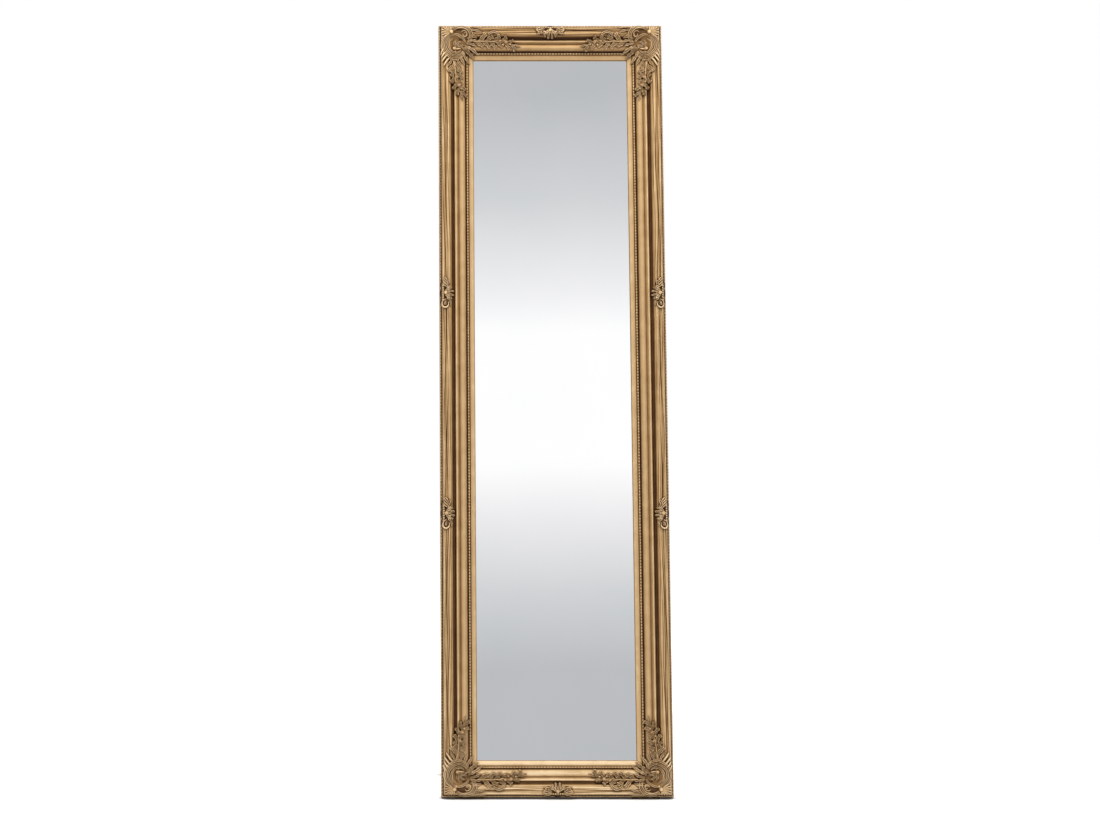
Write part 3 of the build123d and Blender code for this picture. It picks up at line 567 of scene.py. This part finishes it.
def spiral(centre, start_radius, end_radius, start, end, count=9):
    """Points on a spiral whose radius and angle, in degrees, change evenly."""
    angle = np.radians(np.linspace(start, end, count))
    radius = np.linspace(start_radius, end_radius, count)
    return np.stack([centre[0] + radius * np.cos(angle), centre[1] + radius * np.sin(angle)], 1)


def spray(stem, leaves, width, height, first_side):
    """A stem with lobed leaves curling off by turns to each side, shorter towards the tip."""
    samples = 60
    path = smooth_path(stem, samples)
    strokes = [carved_stroke(stem, 5.0, height * 0.8, 1, 0, "whip", 0.6)]
    for index in range(leaves):
        share = 0.04 + 0.84 * index / leaves
        place = int(share * (samples - 1))
        base = path[place]
        ahead = path[min(samples - 1, place + 3)] - base
        ahead = ahead / (np.linalg.norm(ahead) + 1e-9)
        side = first_side * (1 if index % 2 else -1) * np.array([-ahead[1], ahead[0]])
        size = width * (1.0 - 0.36 * share)
        reach = base + ahead * size * 0.55 + side * size * 0.40
        tip = base + ahead * size * 1.05 + side * size * (0.92 if index % 3 else 0.66)
        curl = tip + ahead * size * 0.16 + side * size * 0.10
        strokes.append(carved_stroke([base, reach, tip, curl], size * 0.88, height * 1.15,
                                     3, 3, "leaf", 0.9 + 0.6 * (index % 2), 0.6))
    end = path[-1] - path[-6]
    end = end / np.linalg.norm(end)
    strokes.append(carved_stroke([path[-14], path[-5], path[-1] + end * 3], width * 0.42,
                                 height, 2, 2, "leaf", 0.4))
    return strokes


def corner_strokes():
    """The top left corner's ornament, as strokes and bosses across and down from its corner."""
    knot = (28, 17)
    fan_tips = [(9, 31), (5.5, 25), (4, 18), (4.5, 11), (8, 6), (14, 4), (20.5, 3.4), (27, 3.6)]
    strokes = [carved_stroke([knot, ((knot[0] + a) / 2 - 0.4, (knot[1] + b) / 2 + 0.6), (a, b)],
                             6.2, 3.6, 1, 0, "leaf", 0.9) for a, b in fan_tips]
    strokes += ground(0.8, 0.54, (38, 42, 34), (66, 38, 22), (56, 56, 12), (34, 76, 17))
    strokes += [
        carved_stroke([(30, 24), (17, 32), (11, 45), (14, 60), (26, 71), (40, 74), (52, 68),
                       (58, 58)], 14.5, 4.6, 4, 0, "scroll", 1.2, 0.74),
        carved_stroke([(33, 29), (23, 38), (22, 50), (30, 61), (42, 63), (50, 57)],
                      6.5, 3.4, 2, 0, "scroll", 0.6, 0.6),
        carved_stroke([(31, 14), (41, 6.5), (54, 5), (66, 11), (72, 23), (69, 35), (61, 44)],
                      10.5, 4.4, 3, 0, "scroll", 1.0, 0.74),
        carved_stroke(spiral((57, 22), 9.0, 2.4, -150, 210), 4.2, 3.6, 1, 0, "scroll", -0.8),
        carved_stroke([(33, 22), (44, 24), (55, 31), (60, 40)], 6.0, 3.6, 2, 0, "scroll", 0.6),
        carved_stroke([(33, 52), (35, 41), (40, 32)], 7.6, 4.0, 2, 2, "leaf", 0.7),
        carved_stroke([(34, 53), (41, 43), (50, 37)], 8.0, 4.4, 2, 2, "leaf", 1.1),
        carved_stroke([(35, 54), (45, 48), (56, 46)], 7.6, 4.4, 2, 2, "leaf", 1.3),
        carved_stroke([(35, 55), (43, 54), (50, 53)], 6.4, 3.8, 1, 0, "leaf", 1.0),
        dome((34.5, 53.5), 4.6, 4.4, 0, 1.2),
        dome(knot, 5.4, 4.4, 0, 1.4),
        carved_stroke([(63, 31), (74, 26), (86, 29)], 8.5, 4.6, 2, 3, "leaf", 1.2),
        carved_stroke([(64, 37), (76, 35), (90, 39)], 9.0, 4.8, 2, 3, "leaf", 1.5),
        carved_stroke([(63, 43), (74, 44), (86, 49)], 8.5, 4.6, 2, 3, "leaf", 1.3),
        carved_stroke([(58, 47), (67, 51), (78, 57)], 8.0, 4.2, 2, 2, "leaf", 1.2),
        carved_stroke([(54, 9), (74, 5.4), (99, 6.5)], 8.0, 3.4, 2, 3, "leaf", 0.8),
        carved_stroke([(64, 14), (80, 13), (96, 18)], 7.5, 3.4, 2, 3, "leaf", 0.7),
        carved_stroke([(15, 53), (8, 60), (4.5, 70)], 7.0, 3.6, 1, 0, "leaf", 1.0),
        carved_stroke([(21, 62), (12, 67), (5.2, 78)], 7.4, 3.8, 1, 0, "leaf", 1.1),
        carved_stroke([(24, 68), (15, 74), (6.2, 87)], 7.4, 3.8, 1, 0, "leaf", 1.1),
        carved_stroke([(26, 75), (19, 82), (10, 96)], 7.4, 3.8, 1, 0, "leaf", 1.0),
        carved_stroke([(50, 49), (60, 57), (70, 65), (80, 75)], 11.0, 5.2, 3, 4, "leaf", 1.6),
        carved_stroke([(58, 52), (73, 55), (90, 67)], 9.0, 4.6, 2, 3, "leaf", 1.4),
        carved_stroke([(53, 60), (58, 72), (70, 88)], 9.0, 4.6, 2, 3, "leaf", 1.4),
        carved_stroke([(48, 67), (50, 78), (58, 92)], 8.5, 4.4, 2, 3, "leaf", 1.2),
        carved_stroke([(38, 74), (43, 83), (50, 96)], 8.5, 4.4, 2, 3, "leaf", 1.1),
        carved_stroke([(30, 73), (27, 84), (20, 97)], 8.0, 4.2, 2, 3, "leaf", 1.0),
    ]
    strokes += spray([(78, 38), (104, 37), (130, 39), (157, 42), (181, 49)], 11, 16.5, 4.6, -1)
    strokes += [
        carved_stroke([(110, 31), (113, 22), (122, 17.5), (131, 20), (134, 28), (130, 34)],
                      6.5, 4.2, 2, 0, "scroll", 1.0),
        dome((137, 36), 4.2, 4.0, 5, 1.6),
        dome((150, 39), 4.8, 4.2, 5, 1.6),
        dome((144, 45), 3.2, 3.4, 0, 1.4),
        dome((160, 44), 3.2, 3.4, 0, 1.4),
    ]
    strokes += spray([(33, 80), (36, 100), (40, 124), (46, 148), (53, 171)], 11, 16.5, 4.6, 1)
    strokes += [
        dome((40, 120), 4.2, 4.0, 5, 1.6),
        dome((45, 138), 4.8, 4.2, 5, 1.6),
        dome((38, 130), 3.2, 3.4, 0, 1.4),
        dome((50, 146), 3.2, 3.4, 0, 1.4),
    ]
    return strokes


def middle_strokes(leaf_forms):
    """A small shell, drawn as along and inset: six lobes to the glass, beads and end leaves."""
    strokes = [
        carved_stroke([(0.22 * x, 13.0), (0.75 * x, 19.5), (x, tip)], 9.0, 4.8, 2, 2, "leaf", 1.4)
        for x, tip in ((-17, 22), (-12.5, 28), (-4.6, 32), (4.6, 32), (12.5, 28), (17, 22))]
    strokes += ground(0.8, 0.62, (0, 15, 15)) + ground(0.6, 0.62, (-20, 13, 12), (20, 13, 12))
    strokes += [dome((5.2 * step, 7.4 - 0.10 * abs(step)), 2.7, 3.0, 0, 1.2) for step in range(-3, 4)]
    strokes += [dome((0, 13.5), 5.2, 3.8, 5, 1.6)]
    # The end leaves are drawn narrow and carved a quarter wider
    wider = 1.25
    strokes += [carved_stroke(path, width * wider, *rest, lift=1.2)
                for path, width, *rest in leaf_forms]
    return strokes


def leaf_pair(sign):
    """Three lobes and a curl at one end of a middle ornament: path, width, height, ridges, lobes."""
    return [
        ([(sign * 13, 15), (sign * 22, 11), (sign * 34, 9)], 8.0, 4.0, 2, 3),
        ([(sign * 14, 18), (sign * 22, 19), (sign * 31, 22)], 7.0, 3.8, 2, 3),
        ([(sign * 13, 11), (sign * 20, 6), (sign * 29, 4.4)], 6.0, 3.4, 2, 2),
        ([(sign * 20, 14), (sign * 27, 16), (sign * 30, 12), (sign * 26, 9)], 4.4, 3.2, 1, 0),
    ]


def diagonal_leaves(sign):
    """The upper end of a side ornament: three slanting lobes over one of the leaf pair's."""
    slanting = [
        ([(sign * (12 + 6 * k), 19 - k), (sign * (17 + 6 * k), 13), (sign * (22 + 6 * k), 6.5 + k)],
         7.8, 4.6, 2, 0) for k in range(3)]
    return slanting + leaf_pair(sign)[1:2]


def loop_leaf(sign):
    """The lower end of a side ornament: a looped oval leaf with a short tail."""
    return [
        ([(sign * 14, 13), (sign * 20, 6), (sign * 29, 6), (sign * 33, 12), (sign * 28, 19),
          (sign * 18, 19)], 4.6, 3.8, 1, 0),
        ([(sign * 18, 13), (sign * 24, 12), (sign * 29, 12.5)], 5.0, 3.2, 2, 0),
        ([(sign * 15, 21), (sign * 22, 24), (sign * 30, 24)], 5.0, 3.4, 2, 2),
    ]


def carve(name, node, strokes, spot, seat_inset):
    """Joins strokes into one piece, seated on the moulding and no taller than the CAD."""
    points, faces, shades, offset = [], [], [], 0
    for places, n, shade, rows, ring in strokes:
        inset = seat_inset(places)
        seat = np.interp(inset, TOP_INSETS, SEAT_LINE)
        x, s = spot(places[:, 0], places[:, 1])
        level = seat + n
        level = np.minimum(level, FRONT_KNEE + (level - FRONT_KNEE) * KNEE_SHARE)
        form = face_points(x, s, np.clip(level, BACK_LIMIT, FRONT_LIMIT))
        form[:, 2] = np.minimum(form[:, 2], cad_box[1][2])
        points.append(form)
        faces += tube_faces(rows, ring, offset)
        shades.append(shade)
        offset += rows * ring
    piece = make_piece(name, np.vstack(points), faces, np.concatenate(shades), [gilt()], 55.0)
    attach(piece, "frame")
    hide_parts(node)


class MIRROR_OT_corner_ornaments(bpy.types.Operator):
    """Four corner castings: fan, scrolls round a small palmette, and a leaf spray on each rail."""

    bl_idname = "gilt_mirror.corner_ornaments"
    bl_label = "Corner ornaments"

    def execute(self, context):
        strokes = corner_strokes()
        for end, top in (("top", True), ("bottom", False)):
            for side, sign in (("left", -1), ("right", 1)):
                carve(f"{end}_{side}_rocaille", f"corner_ornament_{end}_{side}", strokes,
                      lambda a, b, top=top, sign=sign: (
                          sign * (WIDTH / 2 - a), HEIGHT - b if top else b),
                      lambda places: places.min(axis=1))
        return {"FINISHED"}


class MIRROR_OT_middle_ornaments(bpy.types.Operator):
    """Six small shells: at the middle of the top and bottom rails and two on each stile."""

    bl_idname = "gilt_mirror.middle_ornaments"
    bl_label = "Middle ornaments"

    def execute(self, context):
        plain = middle_strokes(leaf_pair(-1) + leaf_pair(1))
        turned = middle_strokes(diagonal_leaves(1) + loop_leaf(-1))
        for end, edge in (("top", lambda b: HEIGHT - b), ("bottom", lambda b: b)):
            carve(f"{end}_shell", f"middle_ornament_{end}", plain,
                  lambda a, b, edge=edge: (a, edge(b)), lambda places: places[:, 1])
        for side, sign in (("left", -1), ("right", 1)):
            for level in ("upper", "lower"):
                node = f"side_ornament_{side}_{level}"
                low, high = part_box(node)
                middle = (low.z + high.z) / 2 / MM - FLOOR_GAP
                centre = (middle - ORNAMENT_LEVEL * math.sin(LEAN)) / math.cos(LEAN)
                carve(f"{side}_{level}_shell", node, turned,
                      lambda a, b, sign=sign, centre=centre: (sign * (WIDTH / 2 - b), centre + a),
                      lambda places: places[:, 1])
        return {"FINISHED"}


# Glass, back and fittings


def dress(material, *words):
    """Gives a material to every CAD node whose name starts with one of the words."""
    for name, node in frame["nodes"].items():
        if name.startswith(words):
            if not node.material_slots:
                node.data.materials.append(material)
            for slot in node.material_slots:
                slot.material = material


class MIRROR_OT_glass(bpy.types.Operator):
    """The silvered pane in the rebate."""

    bl_idname = "gilt_mirror.glass"
    bl_label = "Mirror glass"

    def execute(self, context):
        dress(shared("silvered_float_glass", silvered_glass), "mirror_glass")
        return {"FINISHED"}


class MIRROR_OT_fittings(bpy.types.Operator):
    """Finishes of the back: board, foam, strut, hinges, screws, hangers, pads and feet."""

    bl_idname = "gilt_mirror.fittings"
    bl_label = "Back and fittings"

    def execute(self, context):
        # Hardboard: dense brown fibre with a slight sheen and fine darker flecks
        dress(grained("tempered_hardboard", [(0.3, "#5E4128"), (0.5, "#74543A"), (0.7, "#86664A")],
                      2.2, roughness=(0.45, 0.62), bump=0.3, detail=8.0), "backing_board")
        # Foamed polyethylene: white, matt, with small closed cells
        dress(grained("foamed_polyethylene", [(0.3, "#DEDEDB"), (0.7, "#F2F2EF")], 1.2,
                      roughness=(0.75, 0.9), bump=0.5), "foam_sheet")
        # Zinc-plated steel: cool grey with faint blue-white bloom
        zinc = grained("zinc_plated_steel", [(0.3, "#A9ADB1"), (0.55, "#BFC3C6"), (0.75, "#CDD0D1")],
                       6.0, metallic=1.0, roughness=(0.28, 0.42), bump=0.05)
        dress(zinc, "mitre_nails", "turn_button", "hanger_", "hinge_screws")
        # Brass-plated steel: yellow metal, lightly tarnished
        dress(grained("brass_plated_steel", [(0.3, "#A98442"), (0.6, "#C6A25A"), (0.8, "#D4B36C")],
                      7.0, metallic=1.0, roughness=(0.25, 0.4), bump=0.05),
              "hinge_fixed", "hinge_moving", "hinge_pin", "chain_eyes")
        dress(pine("planed_pine_strut", -math.radians(6.0)), "strut_leg")
        dress(cross_pine(), "strut_head_rail", "strut_foot_rail")
        # Turned beech: pinkish tan with fine short flecks
        dress(grained("turned_beech", [(0.3, "#C79F77"), (0.7, "#D9B68F")], 1.5, (1, 1, 0.2),
                      roughness=(0.45, 0.6), bump=0.1), "strut_dowels")
        # Moulded rubber: near black, dull, faintly mottled
        dress(grained("moulded_rubber", [(0.3, "#1B1B1C"), (0.7, "#2A2A2B")], 1.0,
                      roughness=(0.62, 0.8), bump=0.3), "strut_foot_left", "strut_foot_right")
        # Pressed felt: dark brown, fully matt, with a fibrous surface
        dress(grained("pressed_felt", [(0.3, "#2E241A"), (0.7, "#46382A")], 0.9,
                      roughness=(0.9, 1.0), bump=0.8), "floor_pad")
        return {"FINISHED"}


def oval_link(middle, along, turned, half):
    """A chain link: a round wire carried round a stadium of two runs and two half turns."""
    across = np.cross(turned, along)
    angle = np.linspace(0, 2 * np.pi, LINK_STEPS, endpoint=False)
    # A steep cosine, cut off at one, moves each half turn out by half the run
    straight = half - LINK_BEND
    x = np.clip(np.cos(angle) * 1e3, -1, 1) * straight + LINK_BEND * np.cos(angle)
    y = LINK_BEND * np.sin(angle)
    outward = np.cos(angle)[:, None] * along + np.sin(angle)[:, None] * across
    centre = middle + x[:, None] * along + y[:, None] * across
    turn = np.linspace(0, 2 * np.pi, WIRE_SIDES, endpoint=False)
    points = (centre[:, None, :] + WIRE_RADIUS * (np.cos(turn)[None, :, None] * outward[:, None, :]
              + np.sin(turn)[None, :, None] * turned))
    return points.reshape(-1, 3)


class MIRROR_OT_chains(bpy.types.Operator):
    """The two stay chains, as rows of oval links between the ends of each CAD chain."""

    bl_idname = "gilt_mirror.chains"
    bl_label = "Stay chains"

    def execute(self, context):
        # Bright drawn wire: cool grey, polished by handling
        steel = grained("bright_chain_wire", [(0.3, "#9FA3A6"), (0.7, "#C4C7C8")], 3.0,
                        metallic=1.0, roughness=(0.22, 0.36), bump=0.05)
        for side in ("left", "right"):
            node = frame["nodes"][f"stay_chain_{side}"]
            corners = np.array([v.co for v in node.data.vertices], float)
            start = corners[corners[:, 1] < corners[:, 1].min() + END_REACH].mean(axis=0)
            finish = corners[corners[:, 1] > corners[:, 1].max() - END_REACH].mean(axis=0)
            length = np.linalg.norm(finish - start)
            along = (finish - start) / length
            link_points = LINK_STEPS * WIRE_SIDES
            half = (length - 2 * WIRE_RADIUS) / LINK_COUNT / 2 + WIRE_RADIUS
            step = (length - 2 * half) / (LINK_COUNT - 1)
            sideways = np.array([1.0, 0, 0])
            points, faces = [], []
            for index in range(LINK_COUNT):
                middle = start + along * (half + index * step)
                turned = sideways if index % 2 else np.cross(along, sideways)
                points.append(oval_link(middle, along, turned, half - WIRE_RADIUS))
                faces += tube_faces(LINK_STEPS, WIRE_SIDES, index * link_points, closed=True)
            points = np.vstack(points)
            piece = make_piece(f"stay_chain_{side}_links", points, faces, np.zeros(len(points)),
                               [steel], 60.0)
            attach(piece, node["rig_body"])
            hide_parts(f"stay_chain_{side}")
            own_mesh(piece)
        return {"FINISHED"}


class MIRROR_OT_stage(bpy.types.Operator):
    """Pale floor, white surround, soft lamps and a level camera."""

    bl_idname = "gilt_mirror.stage"
    bl_label = "Stage"

    def execute(self, context):
        scene = context.scene
        half = 9.0
        mesh = bpy.data.meshes.new("floor")
        mesh.from_pydata([(-half, -half, 0), (half, -half, 0), (half, half, 0), (-half, half, 0)],
                         [], [(0, 1, 2, 3)])
        floor = bpy.data.objects.new("floor", mesh)
        scene.collection.objects.link(floor)
        # The floor shows plain white to the camera and in the glass, with a painted contact shadow
        # under the mirror where ambient occlusion dims its glow
        glow_strength, shade_reach, shade_power = 0.78, 0.045, 2.8
        material, tree, shader, _ = new_material("matt_white_paint")
        rays = add_node(tree, "ShaderNodeLightPath")
        seen = add_node(tree, "ShaderNodeMath", {"operation": "MAXIMUM"}, {
            0: rays.outputs["Is Camera Ray"], 1: rays.outputs["Is Glossy Ray"]})
        under = add_node(tree, "ShaderNodeAmbientOcclusion", {"samples": 8}, {
            "Distance": shade_reach})
        open_floor = add_node(tree, "ShaderNodeMath", {"operation": "POWER"}, {
            0: under.outputs["AO"], 1: shade_power})
        seen = add_node(tree, "ShaderNodeMath", {"operation": "MULTIPLY"}, {
            0: seen.outputs[0], 1: open_floor.outputs[0]})
        glow = add_node(tree, "ShaderNodeMath", {"operation": "MULTIPLY"}, {
            0: seen.outputs[0], 1: glow_strength})
        shader.inputs["Base Color"].default_value = linear("#CACACA")
        shader.inputs["Roughness"].default_value = 0.9
        shader.inputs["Specular IOR Level"].default_value = 0.0
        shader.inputs["Emission Color"].default_value = (1, 1, 1, 1)
        tree.links.new(glow.outputs[0], shader.inputs["Emission Strength"])
        mesh.materials.append(material)

        world = bpy.data.worlds.new("studio")
        scene.world = world
        world.use_nodes = True
        tree = world.node_tree
        sky = tree.nodes["Background"]
        way = add_node(tree, "ShaderNodeTexCoord")
        upward = add_node(tree, "ShaderNodeSeparateXYZ", inputs={0: way.outputs["Generated"]})
        # A soft panel in a grey room: brightest at 13 to 17 degrees above the horizon
        panel = add_node(tree, "ShaderNodeValToRGB", {"stops": [
            (0.0, "#BCBEC1"), (0.138, "#BCBEC1"), (0.172, "#D2D4D6"), (0.205, "#EEEDEF"),
            (0.228, "#FFFFFF"), (0.287, "#FFFFFF"), (0.303, "#F1F1F3"), (0.343, "#D2D4D6"),
            (0.388, "#BCBEC1"), (1.0, "#B8BBC0")]}, {0: upward.outputs["Z"]})
        rays = add_node(tree, "ShaderNodeLightPath")
        plain, white = (add_node(tree, "ShaderNodeBackground", inputs={
            "Color": (1, 1, 1, 1), "Strength": strength}) for strength in (0.40, 1.0))
        tree.links.new(panel.outputs[0], sky.inputs["Color"])
        glossy = add_node(tree, "ShaderNodeMixShader", inputs={
            0: rays.outputs["Is Glossy Ray"], 1: plain.outputs[0], 2: sky.outputs[0]})
        shown = add_node(tree, "ShaderNodeMixShader", inputs={
            0: rays.outputs["Is Camera Ray"], 1: glossy.outputs[0], 2: white.outputs[0]})
        tree.links.new(shown.outputs[0], tree.nodes["World Output"].inputs["Surface"])

        # Each lamp's place, size and watts
        lamps = {"overhead": ((0.0, -1.5, 4.1), 2.2, 185.0), "front": ((-0.4, -4.6, 1.6), 2.4, 14.0),
                 "back": ((0.6, 4.2, 3.0), 2.6, 60.0)}
        for name, (spot, size, power) in lamps.items():
            light = bpy.data.lights.new(name, "AREA")
            light.size = size
            light.energy = power
            lamp = bpy.data.objects.new(name, light)
            scene.collection.objects.link(lamp)
            lamp.location = spot
            aim = Vector((0, 0, 0.85)) - lamp.location
            lamp.rotation_euler = aim.to_track_quat("-Z", "Y").to_euler()
            lamp.visible_glossy = False
            lamp.visible_camera = False

        view = scene.gilt_mirror
        lens = bpy.data.cameras.new("camera")
        lens.lens = view.focal_length
        lens.sensor_width = 36.0
        lens.shift_x = view.shift
        camera = bpy.data.objects.new("camera", lens)
        scene.collection.objects.link(camera)
        camera.location = (view.camera_side, BACK_Y * MM - view.camera_distance, view.camera_height)
        camera.rotation_euler = (math.radians(90), 0, 0)
        scene.camera = camera
        scene.view_settings.view_transform = "Standard"
        return {"FINISHED"}


class GiltMirrorSettings(bpy.types.PropertyGroup):
    """Colours of the gilding and the camera's stand."""

    # Worn gold: rubbed wear on the crests, and also a painted highlight there
    gold_worn_highlight: bpy.props.StringProperty(
        name="Worn gold", description="Colour of the most rubbed crests", default="#F0D3A8")
    gold_light: bpy.props.StringProperty(
        name="Light gold", description="Colour of the rubbed high parts", default="#CFAD7E")
    gold_middle: bpy.props.StringProperty(
        name="Middle gold", description="Colour of the flat parts", default="#B79466")
    gold_dark: bpy.props.StringProperty(
        name="Dark gold", description="Colour of shallow hollows", default="#8E6A3E")
    # Umber: patina in the deep hollows, and also painted shade there
    umber_and_shade: bpy.props.StringProperty(
        name="Umber", description="Colour left in deep hollows", default="#46290D")
    # Patina depth: how far ambient occlusion darkens hollows, as patina and painted shade
    patina_and_shade_depth: bpy.props.FloatProperty(
        name="Patina depth", description="How much the hollows between forms darken",
        default=0.85, min=0.0, max=2.0)
    focal_length: bpy.props.FloatProperty(
        name="Focal length", description="Lens of the camera in millimetres", default=72.0, min=10.0)
    shift: bpy.props.FloatProperty(
        name="Shift", description="Sideways shift of the picture, as a share of its width",
        default=0.154)
    camera_side: bpy.props.FloatProperty(
        name="Camera side", description="Camera's place to the right of the mirror's middle",
        default=-0.3805, unit="LENGTH")
    camera_distance: bpy.props.FloatProperty(
        name="Camera distance", description="From the camera to the frame's rear bottom edge",
        default=4.749, unit="LENGTH")
    camera_height: bpy.props.FloatProperty(
        name="Camera height", description="Height of the camera above the floor",
        default=0.8317, unit="LENGTH")


OPERATORS = (
    MIRROR_OT_stage, MIRROR_OT_mouldings, MIRROR_OT_beads, MIRROR_OT_corner_ornaments,
    MIRROR_OT_middle_ornaments, MIRROR_OT_glass, MIRROR_OT_fittings, MIRROR_OT_chains)


class MIRROR_PT_panel(bpy.types.Panel):
    """The mirror's pieces, in the order they are made."""

    bl_idname = "MIRROR_PT_panel"
    bl_label = "Gilt floor mirror"
    bl_space_type = "VIEW_3D"
    bl_region_type = "UI"
    bl_category = "Mirror"

    def draw(self, context):
        for name in GiltMirrorSettings.__annotations__:
            self.layout.prop(context.scene.gilt_mirror, name)
        for operator in OPERATORS:
            self.layout.operator(operator.bl_idname)


CLASSES = (GiltMirrorSettings, *OPERATORS, MIRROR_PT_panel)


def register():
    for each in CLASSES:
        bpy.utils.register_class(each)
    bpy.types.Scene.gilt_mirror = bpy.props.PointerProperty(type=GiltMirrorSettings)


def unregister():
    del bpy.types.Scene.gilt_mirror
    for each in reversed(CLASSES):
        bpy.utils.unregister_class(each)


def main():
    register()
    for operator in OPERATORS:
        group, name = operator.bl_idname.split(".")
        getattr(getattr(bpy.ops, group), name)()


if __name__ == "__main__":
    main()
